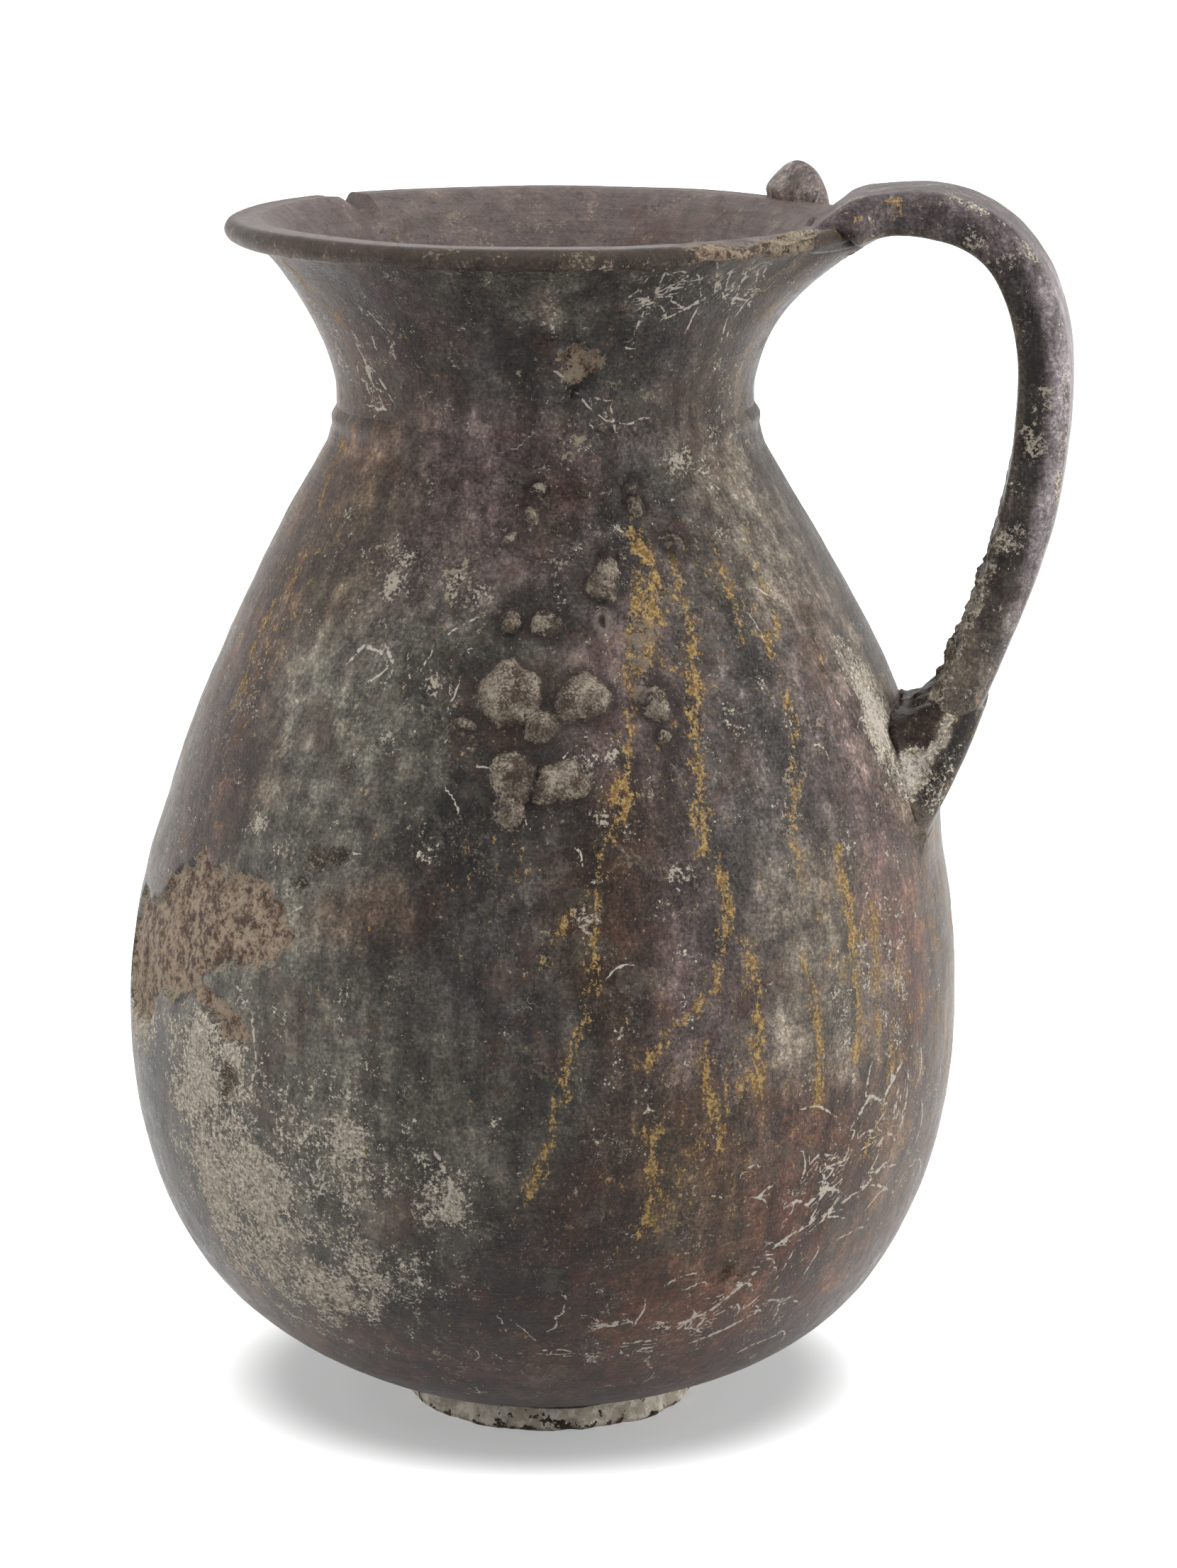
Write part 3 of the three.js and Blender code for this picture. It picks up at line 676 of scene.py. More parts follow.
SPOT_STEP = (0.3, 0.8, 0.88)
LUMP_SHADE_STEP = (-3.0, -0.2)
LUMP_STEP = (-0.2, 0.25, 0.95)
CRUST_STEP = (-1.4, 1.4)
CRUST_PALE_STEP = (0.3, 1.4, 0.8)
CRUST_PORE_STEP = (-0.8, -1.7, 0.7)
RING_STEP = (0.12, 0.30, 0.7)
BAND_STEP = (-0.6, 0.2)
BAND_END_STEP = (0.24, 0.10)
BREAK_STEP = (-0.1, 0.35, 0.95)
ROUGH_STEP = (-1.6, 1.6)
CHALK_STEP = (1.1, 1.8, 0.70)
HOLE_STEP = (1.1, 1.7)
BREAK_HIGHLIGHT_STEP = (-0.5, 0.2)
BREAK_HIGHLIGHT_END_STEP = (1.6, 0.6)
HIGHLIGHT_GAP_STEP = (-0.2, 0.8, 0.75)
PIT_STEP = (-0.6, 0.4, 0.75)
PIT_FLOOR_STEP = (-0.1, 0.1)
PIT_CRUMB_STEP = (0.7, 1.4)
ROOT_STEP = (0.27, 0.15)
ROOT_END_STEP = (0.24, 0.18)
ROOT_GAP_STEP = (-0.7, -0.1)
CURL_STEP = (0.08, 0.02)
CURL_PATCH_STEP = (1.9, 2.4, 0.7)
WASH_CLOUD_STEP = (-1.2, 1.2)
WASH_STEP = (0.0, 0.5, 0.96)
OCHRE_SHARE = 0.86
LUMP_SHADE_SHARE = 0.62
BAND_SHARE = 0.8
HOLE_SHARE = 0.25
ROOT_SHARE = 0.92
# Patches left by the fire: size, where each begins and is full, strength, colour
SMOKE_PATCHES = (
    (18, 0.9, 2.0, 0.30, RUST), (14, 0.9, 2.0, 0.25, MOSS), (2.6, 1.0, 1.9, 0.45, SOOT),
    (6, 1.2, 2.1, 0.35, PLUM),
)
CLAY_GLOSS = 0.36
LIMED_GLOSS = 0.6
CLAY_SPECULAR = 0.15


# Noise in space, the same on every run
SEED_SHIFT = 57.3
CELL_PRIMES = (73856093, 19349663, 83492791)
SEED_PRIME = 971
MIX_PRIMES = (1274126177, 668265263)
POSITIVE = 0x7FFFFFFF


def lattice(cell, seed):
    key = (seed + 11) * SEED_PRIME
    for axis, prime in enumerate(CELL_PRIMES):
        key = key ^ cell[..., axis] * prime
    key = (key ^ (key >> 13)) * MIX_PRIMES[0] & POSITIVE
    key = (key ^ (key >> 11)) * MIX_PRIMES[1] & POSITIVE
    return ((key >> 7) & 0xFFFF) / 32767.5 - 1.0


def noise(points, size, seed=0):
    place = points / size + SEED_SHIFT * (seed + 1)
    cell = np.floor(place).astype(np.int64)
    part = place - cell
    part = part * part * (3 - 2 * part)
    total = np.zeros(points.shape[:-1])
    for corner in range(8):
        step = np.array([corner & 1, corner >> 1 & 1, corner >> 2 & 1])
        weight = np.where(step, part, 1 - part).prod(-1)
        total += weight * lattice(cell + step, seed)
    return total


def cloud(points, size, octaves=3, seed=0):
    total, scale, share = 0.0, 1.0, 0.0
    for octave in range(octaves):
        total = total + noise(points, size * scale, seed + octave) * scale
        share += scale
        scale *= 0.5
    return total / share


def smooth(value, low, high):
    t = np.clip((value - low) / (high - low), 0, 1)
    return t * t * (3 - 2 * t)


# Lines in the plane of the wall: radius, height
def bezier(a, b, c, d, count=80):
    t = np.linspace(0, 1, count)[:, None]
    a, b, c, d = (np.array(p, float) for p in (a, b, c, d))
    return a * (1 - t) ** 3 + 3 * b * t * (1 - t) ** 2 + 3 * c * t**2 * (1 - t) + d * t**3


def along(line):
    steps = np.linalg.norm(np.diff(line, axis=0), axis=1)
    return np.concatenate([[0], np.cumsum(steps)])


def even(line, gap):
    run = along(line)
    count = max(int(round(run[-1] / gap)), 2)
    want = np.linspace(0, run[-1], count + 1)
    return np.stack([np.interp(want, run, line[:, k]) for k in range(line.shape[1])], 1)


def offset(line, distance):
    slope = np.gradient(line, axis=0)
    slope /= np.linalg.norm(slope, axis=1, keepdims=True)
    return line + distance * np.stack([-slope[:, 1], slope[:, 0]], 1)


def lower_line():
    return bezier(
        (FOOT_RADIUS, FOOT_HEIGHT + GAP),
        (FOOT_RADIUS + BASE_SPREAD, FOOT_HEIGHT + BASE_LIFT),
        (BELLY_RADIUS, BELLY_HEIGHT - BELLY_DEPTH),
        (BELLY_RADIUS, BELLY_HEIGHT),
    )


def upper_line():
    return bezier(
        (BELLY_RADIUS, BELLY_HEIGHT),
        (BELLY_RADIUS, BELLY_HEIGHT + SHOULDER_RISE),
        (NECK_RADIUS + SHOULDER_FLAT, NECK_SEAT_HEIGHT - SHOULDER_RUN),
        (NECK_RADIUS, NECK_SEAT_HEIGHT),
    )


def neck_line():
    tuck = math.radians(LIP_TUCK)
    under = (
        RIM_RADIUS - LIP_RADIUS * math.sin(tuck),
        RIM_HEIGHT - LIP_RADIUS - LIP_RADIUS * math.cos(tuck),
    )
    flare = bezier(
        (NECK_RADIUS, NECK_WAIST_HEIGHT),
        (NECK_RADIUS, NECK_WAIST_HEIGHT + FLARE_RISE),
        (under[0] - FLARE_LEVEL, under[1]),
        under,
    )
    return np.vstack([[(NECK_RADIUS, NECK_SEAT_HEIGHT)], flare])


def neck_inner_line():
    return offset(neck_line(), NECK_WALL)[:-INNER_CUT]


def lip_line():
    turn = np.radians(np.linspace(-90 - LIP_TUCK, LIP_END - LIP_TUCK, LIP_POINTS))
    middle = np.array([RIM_RADIUS, RIM_HEIGHT - LIP_RADIUS])
    return middle + LIP_RADIUS * np.stack([np.cos(turn), np.sin(turn)], 1)


OUTER = np.vstack([lower_line(), upper_line()[1:], neck_line()[1:]])


def lean(height):
    return np.interp(height, LEAN_HEIGHTS, LEANS)


def wall_radius(height):
    return np.interp(height, OUTER[:, 1], OUTER[:, 0])


def axis_distance(points):
    return np.hypot(points[..., 0] - lean(points[..., 2]), points[..., 1])


def on_wall(azimuth, height):
    turn = np.radians(azimuth)
    height = np.asarray(height, float)
    radius = wall_radius(height)
    return np.stack([radius * np.cos(turn) + lean(height), radius * np.sin(turn), height + 0.0 * turn], -1)


# Distances to the solids that run into one another
def line_distance(radius, height, line):
    best = np.full(radius.shape, 1e9)
    inside = np.zeros(radius.shape, bool)
    for a, b in zip(line, np.roll(line, -1, axis=0)):
        edge = b - a
        size = float(edge @ edge)
        if size < 1e-12:
            continue
        t = np.clip(((radius - a[0]) * edge[0] + (height - a[1]) * edge[1]) / size, 0, 1)
        best = np.minimum(best, (radius - a[0] - t * edge[0]) ** 2 + (height - a[1] - t * edge[1]) ** 2)
        if a[1] != b[1]:
            crosses = (a[1] > height) != (b[1] > height)
            inside ^= crosses & (radius < (height - a[1]) / (b[1] - a[1]) * edge[0] + a[0])
    return np.where(inside, -1, 1) * np.sqrt(best)


def vessel_outline():
    body = even(OUTER[OUTER[:, 1] > CORE_FOOT], CORE_GAP)
    inner = even(neck_inner_line(), CORE_GAP)[::-1]
    return np.vstack([body, lip_line()[1:], inner, [(CORE_RADIUS, CORE_TOP), (CORE_RADIUS, CORE_FOOT)]])


VESSEL = vessel_outline()


def vessel_distance(points):
    return line_distance(axis_distance(points), points[..., 2], VESSEL)


def strap_path():
    arch = np.array([ARCH_RADIUS, RIM_HEIGHT + ARCH_RISE])
    lap = np.array([RIM_RADIUS - RIM_LAP, RIM_HEIGHT - LAP_DROP])
    reach = np.array([HANDLE_REACH, HANDLE_REACH_HEIGHT])
    root = np.array([wall_radius(ROOT_HEIGHT) - ROOT_SINK, ROOT_HEIGHT])
    pull = np.array([ROOT_LEAN, ROOT_CLIMB])
    tail = root - pull / np.linalg.norm(pull) * ROOT_TAIL
    first = bezier(lap, lap + (RIM_LAP - LAP_DROP, RIM_LAP / 2), arch - (ARCH_PULL_IN, 0), arch)
    second = bezier(arch, arch + (ARCH_PULL_OUT, 0), reach + (0, REACH_PULL_UP), reach)
    third = bezier(reach, reach - (0, REACH_PULL_DOWN), root + pull, root)
    return even(np.vstack([first, second[1:], third[1:], [tail]]), PATH_GAP)


PATH = strap_path()
PATH_RUN = along(PATH)
PATH_LENGTH = PATH_RUN[-1]
PATH_SLOPE = np.gradient(PATH, axis=0)
PATH_SLOPE /= np.linalg.norm(PATH_SLOPE, axis=1, keepdims=True)


def fade(done, length):
    return np.maximum(1 - done / length, 0) ** 2


def strap_size(done):
    at_rim = fade(np.maximum(done, 0), RIM_FLARE_LENGTH)
    at_root = fade(np.maximum(PATH_LENGTH - ROOT_TAIL - done, 0), ROOT_FLARE_LENGTH)
    width = STRAP_WIDTH + (RIM_FLARE_WIDTH - STRAP_WIDTH) * at_rim + (ROOT_WIDTH - STRAP_WIDTH) * at_root
    thickness = (
        LAP_THICKNESS
        + (ARCH_THICKNESS - LAP_THICKNESS) * smooth(done, 0, LAP_SWELL_LENGTH)
        + (STRAP_THICKNESS - ARCH_THICKNESS) * smooth(done, RIM_FLARE_LENGTH, ARCH_SWELL_END)
    )
    return width, thickness, RIM_FLARE_SHIFT * at_rim


def strap_place(points):
    flat = points.reshape(-1, 3)
    done = np.empty(len(flat))
    out = np.empty(len(flat))
    for start in range(0, len(flat), BLOCK):
        rows = slice(start, start + BLOCK)
        part = flat[rows]
        gap = part[:, None, [0, 2]] - PATH
        nearest = (gap**2).sum(-1).argmin(1)
        step = part[:, [0, 2]] - PATH[nearest]
        slope = PATH_SLOPE[nearest]
        done[rows] = PATH_RUN[nearest] + (step * slope).sum(1)
        out[rows] = -step[:, 0] * slope[:, 1] + step[:, 1] * slope[:, 0]
    return done.reshape(points.shape[:-1]), out.reshape(points.shape[:-1])


def strap_distance(points):
    done, out = strap_place(points)
    width, thickness, shift = strap_size(done)
    side = np.abs(points[..., 1] - shift) - width / 2
    deep = np.abs(out) - thickness / 2
    past = np.maximum(np.maximum(-done, done - PATH_LENGTH), 0)
    outside = np.sqrt(np.maximum(side, 0) ** 2 + np.maximum(deep, 0) ** 2 + past**2)
    return outside + np.minimum(np.maximum(side, deep), 0)


# The hollow curve where one surface runs into another
def fillet(points, normals, distance, size):
    gap = distance(points)
    ahead = distance(points + normals * PROBE)
    turned = 1 - (ahead - gap) / PROBE
    share = np.clip(turned, *FILLET_SHARES)
    gap = np.clip(gap, -size, size)
    seam = share * size / 4
    reach = (size - gap) * share
    rise = (2 * size - reach - 2 * np.sqrt(np.maximum(size**2 - size * reach, 0))) / share**2
    t = np.clip((seam - gap) / (2 * seam), 0, 1)
    slope = 2 * seam / (2 - share)
    under = size / 4 * (2 * t**3 - 3 * t**2 + 1) + slope * (t**3 - 2 * t**2 + t)
    return np.where(gap >= seam, rise, under) * smooth(turned, *FILLET_TURN)


# Grids of points: rows of closed rings
def ring_normals(grid, loop=False):
    across = np.roll(grid, -1, axis=1) - np.roll(grid, 1, axis=1)
    up = np.roll(grid, -1, axis=0) - np.roll(grid, 1, axis=0)
    if not loop:
        up[0] = grid[1] - grid[0]
        up[-1] = grid[-1] - grid[-2]
    normal = np.cross(across, up)
    size = np.linalg.norm(normal, axis=-1, keepdims=True)
    return normal / np.maximum(size, 1e-9)


def azimuths():
    fine = np.linspace(-180, 180, FINE_TURNS)
    away = np.abs((fine - FRONT_ANGLE + 180) % 360 - 180)
    weight = BACK_SHARE + (1 - BACK_SHARE) * (1 - smooth(away, FRONT_HALF, FRONT_HALF + FRONT_FADE))
    run = np.concatenate([[0], np.cumsum((weight[1:] + weight[:-1]) / 2)])
    return np.interp(np.linspace(0, run[-1], COLUMNS + 1)[:-1], run, fine)


AZIMUTHS = azimuths()


def spin(line, turns=AZIMUTHS, leaning=True):
    turn = np.radians(turns)
    radius, height = line[:, :1], line[:, 1:]
    shift = lean(height) if leaning else 0.0
    shape = np.ones((1, len(turn)))
    return np.stack([radius * np.cos(turn) + shift * shape, radius * np.sin(turn), height * shape], -1)


def linear(code):
    parts = np.array([int(code[k : k + 2], 16) / 255 for k in (1, 3, 5)])
    return np.where(parts <= 0.04045, parts / 12.92, ((parts + 0.055) / 1.055) ** 2.4)


def turn_of(points):
    return np.degrees(np.arctan2(points[..., 1], points[..., 0] - lean(points[..., 2])))


def around(turn, middle):
    return (turn - middle + 180) % 360 - 180


def zone(turn, height, azimuth, level, wide, tall):
    return np.exp(-((around(turn, azimuth) / wide) ** 2) - ((height - level) / tall) ** 2)


def zones(turn, height, marks):
    total = np.zeros(turn.shape)
    for azimuth, level, wide, tall, strength in marks:
        total = np.maximum(total, strength * zone(turn, height, azimuth, level, wide, tall))
    return total


def warped(points, size, amount, seed):
    shift = [cloud(points, size, 2, seed + 5 * k) for k in range(3)]
    return points + amount * np.stack(shift, -1)


def spots(points, marks):
    """How deep inside the nearest round mark a point is, in millimetres."""
    best = np.full(points.shape[:-1], OUTSIDE)
    for azimuth, height, radius in marks:
        best = np.maximum(best, radius - np.linalg.norm(points - on_wall(azimuth, height), axis=-1))
    return best


def patches(points, outlines):
    """How deep inside a closed outline a point is, in millimetres."""
    best = np.full(points.shape[:-1], OUTSIDE)
    turn, height = turn_of(points), points[..., 2]
    for outline in outlines:
        corners = np.array(outline, float)
        middle, level = corners.mean(0)
        scale = math.radians(1) * wall_radius(level)
        near = (np.abs(around(turn, middle)) < PATCH_REACH) & (np.abs(height - level) < PATCH_REACH)
        line = np.stack([(corners[:, 0] - middle) * scale, corners[:, 1]], 1)
        depth = -line_distance(around(turn[near], middle) * scale, height[near], line)
        best[near] = np.maximum(best[near], depth)
    return best


def line_offsets(points, line, reach):
    """The points near a line on the wall, with their distance from it and the side they lie on."""
    middle, size = line.mean(0), np.ptp(line, axis=0).max()
    near = np.nonzero((np.abs(points - middle) < size + reach).all(-1))[0]
    part = points[near]
    best = np.full(len(near), 1e9)
    side = np.ones(len(near))
    for a, b in zip(line, line[1:]):
        edge = b - a
        t = np.clip(((part - a) @ edge) / (edge @ edge), 0, 1)[:, None]
        gap = part - a - t * edge
        distance = np.linalg.norm(gap, axis=-1)
        outward = a * (1, 1, 0)
        turned = np.sign(np.cross(edge, gap) @ outward)
        side = np.where(distance < best, turned, side)
        best = np.minimum(best, distance)
    return near, best, side


def runs(points, marks):
    """How deep inside the nearest run a point is, in millimetres."""
    total = np.full(len(points), -FIELD_REACH)
    for mark in marks:
        bends = np.array(mark[:-1], float)
        line = on_wall(bends[:, 0], bends[:, 1])
        near, distance, _ = line_offsets(points, line, FIELD_REACH)
        total[near] = np.maximum(total[near], mark[-1] - distance)
    return total


def root_lines():
    """The long root marks, and short bent strokes strewn with a fixed seed over the root zones."""
    lines = []
    for stroke in ROOT_STROKES:
        bold = BOLD_ROOT if stroke[0][1] < COLLAR_FOOT_HEIGHT else 0.0
        lines.append((on_wall(*np.array(stroke, float).T), bold))
    draw = np.random.RandomState(STROKE_SEED)
    fewest, more = STROKE_STEPS
    shortest, longer = STROKE_LENGTHS
    for azimuth, height, wide, tall, count, length, slope in ROOT_ZONES:
        for _ in range(count):
            shift = draw.normal() * wide * STROKE_SCATTER
            place = np.array([azimuth + shift, height + draw.normal() * tall * STROKE_SCATTER])
            course = math.radians(slope + draw.normal() * STROKE_TURN)
            bend = draw.normal() * STROKE_BEND
            steps = fewest + int(draw.rand() * more)
            step = length * (shortest + longer * draw.rand()) / steps
            line = [place.copy()]
            for _ in range(steps):
                course += bend + draw.normal() * STROKE_JITTER
                turn = math.degrees(math.cos(course) * step / wall_radius(place[1]))
                place = place + (turn, math.sin(course) * step)
                line.append(place.copy())
            line = np.array(line)
            if line[:, 1].min() > STROKE_ENDS[0] and line[:, 1].max() < STROKE_ENDS[1]:
                lines.append((on_wall(line[:, 0], line[:, 1]), 0.0))
    return lines


ROOT_LINES = root_lines()


def threads(points):
    """Signed distance across the nearest root mark, and the plain distance."""
    across = np.full(len(points), FIELD_REACH)
    best = np.full(len(points), FIELD_REACH)
    for line, bold in ROOT_LINES:
        near, distance, side = line_offsets(points, line, FIELD_REACH)
        distance = np.maximum(distance - bold, 0)
        closer = distance < best[near]
        chosen = near[closer]
        best[chosen] = distance[closer]
        across[chosen] = (distance * side)[closer]
    return across, best


def mark_place(points):
    return warped(points, *MARK_WARP)


def domes(points, marks, rise):
    """Low rounded lumps, each in a shallow ring of its own."""
    depth, middle, width = LUMP_RING
    total = np.zeros(points.shape[:-1])
    for azimuth, height, radius in marks:
        q = np.linalg.norm(points - on_wall(azimuth, height), axis=-1) / radius
        dome = np.sqrt(np.clip(1 - q**2, 0, 1)) * rise * math.sqrt(radius / 5)
        total = np.where(q < 1, np.maximum(total, dome), total)
        total -= depth * np.exp(-(((q - middle) / width) ** 2))
    return total


def relief(points, rough=1.0):
    """Height of the surface's own unevenness and marks, along its normal."""
    height = cloud(points, *SWELLS) * SWELL_HEIGHT * rough
    height += cloud(points * STREAK_STRETCH, *STREAKS) * STREAK_HEIGHT
    height += cloud(points, *BUMPS) * BUMP_HEIGHT
    grain = cloud(points, *GRAINS)
    bent = mark_place(points)
    lumps = domes(bent, LIME_LUMPS, LUMP_RISE)
    height += lumps + np.maximum(lumps, 0) * grain * LUMP_GRAIN
    rise, middle, width = RING_RISE
    height += rise * np.exp(-(((spots(bent, RINGS) - middle) / width) ** 2))
    broken = patches(bent, SPALLS)
    uneven = 1.0 + SPALL_ROUGHNESS * cloud(points, *SPALL_WAVES)
    height -= smooth(broken, *SPALL_EDGE) * uneven * SPALL_DEPTH
    height += smooth(broken, *SPALL_FLOOR) * grain * SPALL_GRAIN
    height -= smooth(spots(bent, PITS), *PIT_EDGE) * PIT_DEPTH
    return height


def clay_tones(points, turn, height):
    shift = TONE_SHIFT * cloud(points, *TONE_SHIFTS)
    drop = TONE_DROP * cloud(points, *TONE_DROPS)
    total = np.full(points.shape[:-1], PLAIN_TONE)[..., None]
    tone = total * linear(SLATE)
    for azimuth, level, wide, tall, code, strength in TONES:
        weight = (strength * zone(turn + shift, height + drop, azimuth, level, wide, tall))[..., None]
        tone = tone + weight * linear(code)
        total = total + weight
    bands = cloud(points * BAND_STRETCH, *TONE_BANDS)
    smoke = cloud(points, *TONE_SMOKE)
    return tone / total * np.exp(BAND_DEPTH * bands + SMOKE_DEPTH * smoke)[..., None]


def paint(points):
    """The fields that the materials read, and the clay's tone."""
    turn, height = turn_of(points), points[..., 2]
    near = np.abs(axis_distance(points) - wall_radius(height)) < MARK_REACH
    part = points[near]
    bent = mark_place(part)
    across, away = threads(part)
    depths = {
        "lime": spots(bent, LIME_LUMPS),
        "ring": spots(bent, RINGS),
        "spall": patches(bent, SPALLS),
        "pit": spots(bent, PITS),
        "spot": spots(warped(part, *SPOT_WARP), CREAM_SPOTS),
        "drip": runs(warped(part, *DRIP_WARP), DRIPS),
        "thread": across,
        "away": away,
    }
    fields = {}
    for name, depth in depths.items():
        fields[name] = np.full(len(points), 1.0 if name in ("thread", "away") else -1.0)
        fields[name][near] = np.clip(depth / FIELD_REACH, -1, 1)
    fields["tone"] = clay_tones(points, turn, height)
    fields["cream"] = zones(turn, height, CREAM_ZONES)
    fields["ochre"] = zones(turn, height, OCHRE_ZONES)
    fields["flake"] = zones(turn, height, FLAKE_ZONES)
    return fields


# Meshes
def put_field(mesh, name, values):
    if values.ndim == 2:
        attribute = mesh.attributes.new(name, "FLOAT_COLOR", "POINT")
        full = np.concatenate([values, np.ones((len(values), 1))], 1)
        attribute.data.foreach_set("color", full.astype(np.float32).ravel())
    else:
        attribute = mesh.attributes.new(name, "FLOAT", "POINT")
        attribute.data.foreach_set("value", values.astype(np.float32))


def lifted(points):
    """The mouth stands a little high, and higher still on its far side."""
    turn = np.radians(turn_of(points) - FAR_SIDE_ANGLE)
    lift = RIM_LIFT + RIM_TILT * np.cos(turn)
    return points + np.stack([0 * lift, 0 * lift, lift * smooth(points[..., 2], *LIFT_HEIGHTS)], -1)


def build(name, node, grid, material, loop=False, shift=VESSEL_X, change=None, sharp=50):
    rows, count = grid.shape[:2]
    points = grid.reshape(-1, 3)
    low = np.arange(rows if loop else rows - 1)[:, None] * count
    high = (low + count) % (rows * count)
    here = np.arange(count)
    after = (here + 1) % count
    quads = np.stack([low + here, low + after, high + after, high + here], -1).reshape(-1, 4)
    faces = quads.tolist()
    if not loop:
        first, last = len(points), len(points) + 1
        points = np.vstack([points, grid[0].mean(0), grid[-1].mean(0)])
        top = (rows - 1) * count
        faces += [(first, int(j), int(i)) for i, j in zip(here, after)]
        faces += [(last, top + int(i), top + int(j)) for i, j in zip(here, after)]
    fields = paint(points)
    if change:
        change(points, fields)
    mesh = bpy.data.meshes.new(name)
    moved = (lifted(points) + (shift, 0, 0)) * MM
    mesh.from_pydata(moved.tolist(), [], faces)
    for field, values in fields.items():
        put_field(mesh, field, values)
    mesh.polygons.foreach_set("use_smooth", np.ones(len(mesh.polygons), bool))
    mesh.materials.append(material)
    mesh.validate()
    mesh.set_sharp_from_angle(angle=math.radians(sharp))
    piece = bpy.data.objects.new(name, mesh)
    bpy.context.scene.collection.objects.link(piece)
    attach(piece, "root")
    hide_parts(node)


# Materials
class Paint:
    def __init__(self, name):
        self.material = bpy.data.materials.new(name)
        self.material.use_nodes = True
        self.tree = self.material.node_tree
        self.tree.nodes.clear()
        self.place = self.node("ShaderNodeTexCoord").outputs["Object"]
        self.layer = 0

    def node(self, kind, **settings):
        made = self.tree.nodes.new(kind)
        for key, value in settings.items():
            setattr(made, key, value)
        return made

    def put(self, socket, value):
        if isinstance(value, bpy.types.NodeSocket):
            self.tree.links.new(value, socket)
        elif value is not None:
            socket.default_value = value

    def math(self, operation, a, b=None, c=None):
        made = self.node("ShaderNodeMath", operation=operation)
        for socket, value in zip(made.inputs, (a, b, c)):
            self.put(socket, value)
        return made.outputs[0]

    def times(self, a, b):
        return self.math("MULTIPLY", a, b)

    def sum(self, weights, *values):
        """Adds values, each with its own weight."""
        total = self.times(values[0], weights[0])
        for value, weight in zip(values[1:], weights[1:]):
            total = self.math("MULTIPLY_ADD", value, weight, total)
        return total

    def most(self, *values):
        total = values[0]
        for value in values[1:]:
            total = self.math("MAXIMUM", total, value)
        return total

    def step(self, value, low, high, end=1.0):
        made = self.node("ShaderNodeMapRange", interpolation_type="SMOOTHSTEP")
        for socket, item in zip(made.inputs, (value, low, high, 0.0, end)):
            self.put(socket, item)
        return made.outputs[0]

    def mix(self, share, a, b, blend="MIX"):
        made = self.node("ShaderNodeMix", data_type="RGBA", blend_type=blend)
        self.put(made.inputs[0], share)
        self.put(made.inputs[6], a)
        self.put(made.inputs[7], b)
        return made.outputs[2]

    def field(self, name):
        made = self.node("ShaderNodeAttribute", attribute_name=name)
        return made.outputs["Fac"]

    def waves(self, size, detail=3, roughness=0.6, stretch=(1, 1, 1)):
        """Noise with a mean of 0 and a standard deviation of 1."""
        self.layer += 1
        mapping = self.node("ShaderNodeMapping")
        self.put(mapping.inputs["Vector"], self.place)
        mapping.inputs["Scale"].default_value = stretch
        mapping.inputs["Location"].default_value = [part * self.layer for part in LAYER_SHIFT]
        made = self.node("ShaderNodeTexNoise")
        self.put(made.inputs["Vector"], mapping.outputs[0])
        made.inputs["Scale"].default_value = 1 / (size * MM)
        made.inputs["Detail"].default_value = detail
        made.inputs["Roughness"].default_value = roughness
        octaves = [roughness**k for k in range(detail + 1)]
        spread = PLAIN_NOISE_SPREAD * math.hypot(*octaves) / sum(octaves)
        return self.math("MULTIPLY_ADD", made.outputs["Fac"], 1 / spread, -0.5 / spread)


def colour(code):
    return (*linear(code).tolist(), 1.0)


class Coat:
    """A surface laid on in layers: its colour, how matt it is and its height in millimetres."""

    def __init__(self, box, base, matt, height):
        self.box = box
        self.base = base
        self.matt = matt
        self.height = height

    def lay(self, share, over, matt=0.3, rise=0.0):
        self.base = self.box.mix(share, self.base, over)
        self.matt = self.box.math("MULTIPLY_ADD", share, matt, self.matt)
        if rise:
            self.height = self.box.math("MULTIPLY_ADD", share, rise, self.height)

    def finish(self):
        box = self.box
        bump = box.node("ShaderNodeBump")
        bump.inputs["Strength"].default_value = 1.0
        bump.inputs["Distance"].default_value = MM
        box.put(bump.inputs["Height"], self.height)
        skin = box.node("ShaderNodeBsdfPrincipled")
        box.put(skin.inputs["Base Color"], self.base)
        box.put(skin.inputs["Roughness"], self.matt)
        skin.inputs["Specular IOR Level"].default_value = CLAY_SPECULAR
        box.put(skin.inputs["Normal"], bump.outputs[0])
        out = box.node("ShaderNodeOutputMaterial")
        box.put(out.inputs["Surface"], skin.outputs[0])
        return box.material


def fired_clay(box, gloss):
    """Smoky burnished clay, cloudy and worn in fine strokes."""
    box.mottle = box.waves(*MOTTLE)
    box.grit = box.waves(*GRIT)
    box.down = box.waves(*DOWN_STROKES)
    across = box.waves(*CROSS_STROKES)
    shade = box.sum(CLAY_SHADE, box.mottle, box.grit, box.down, 1.0)
    calm = box.sum(INSIDE_CALM, inside_share(box), 1.0)
    shade = box.sum(CROSS_SHADE, box.times(shade, calm), across, 1.0)
    light = box.node("ShaderNodeCombineXYZ")
    for socket in light.inputs:
        box.put(socket, box.math("EXPONENT", shade))
    tone = box.node("ShaderNodeAttribute", attribute_name="tone").outputs["Color"]
    base = box.mix(1.0, tone, light.outputs[0], "MULTIPLY")
    matt = box.sum((*CLAY_MATT, gloss), box.mottle, box.grit, 1.0)
    height = box.sum(CLAY_HEIGHT, box.mottle, box.grit, across, box.down)
    return Coat(box, base, matt, height)


def smoke(coat):
    """Patches of rust, slate and soot left by the fire."""
    box = coat.box
    for size, low, high, share, code in SMOKE_PATCHES:
        patch = box.sum(SMOKE_MIX, box.waves(size, *SMOKE_WAVES), box.grit, inside_share(box))
        coat.lay(box.step(patch, low, high, share), colour(code), matt=0.0)


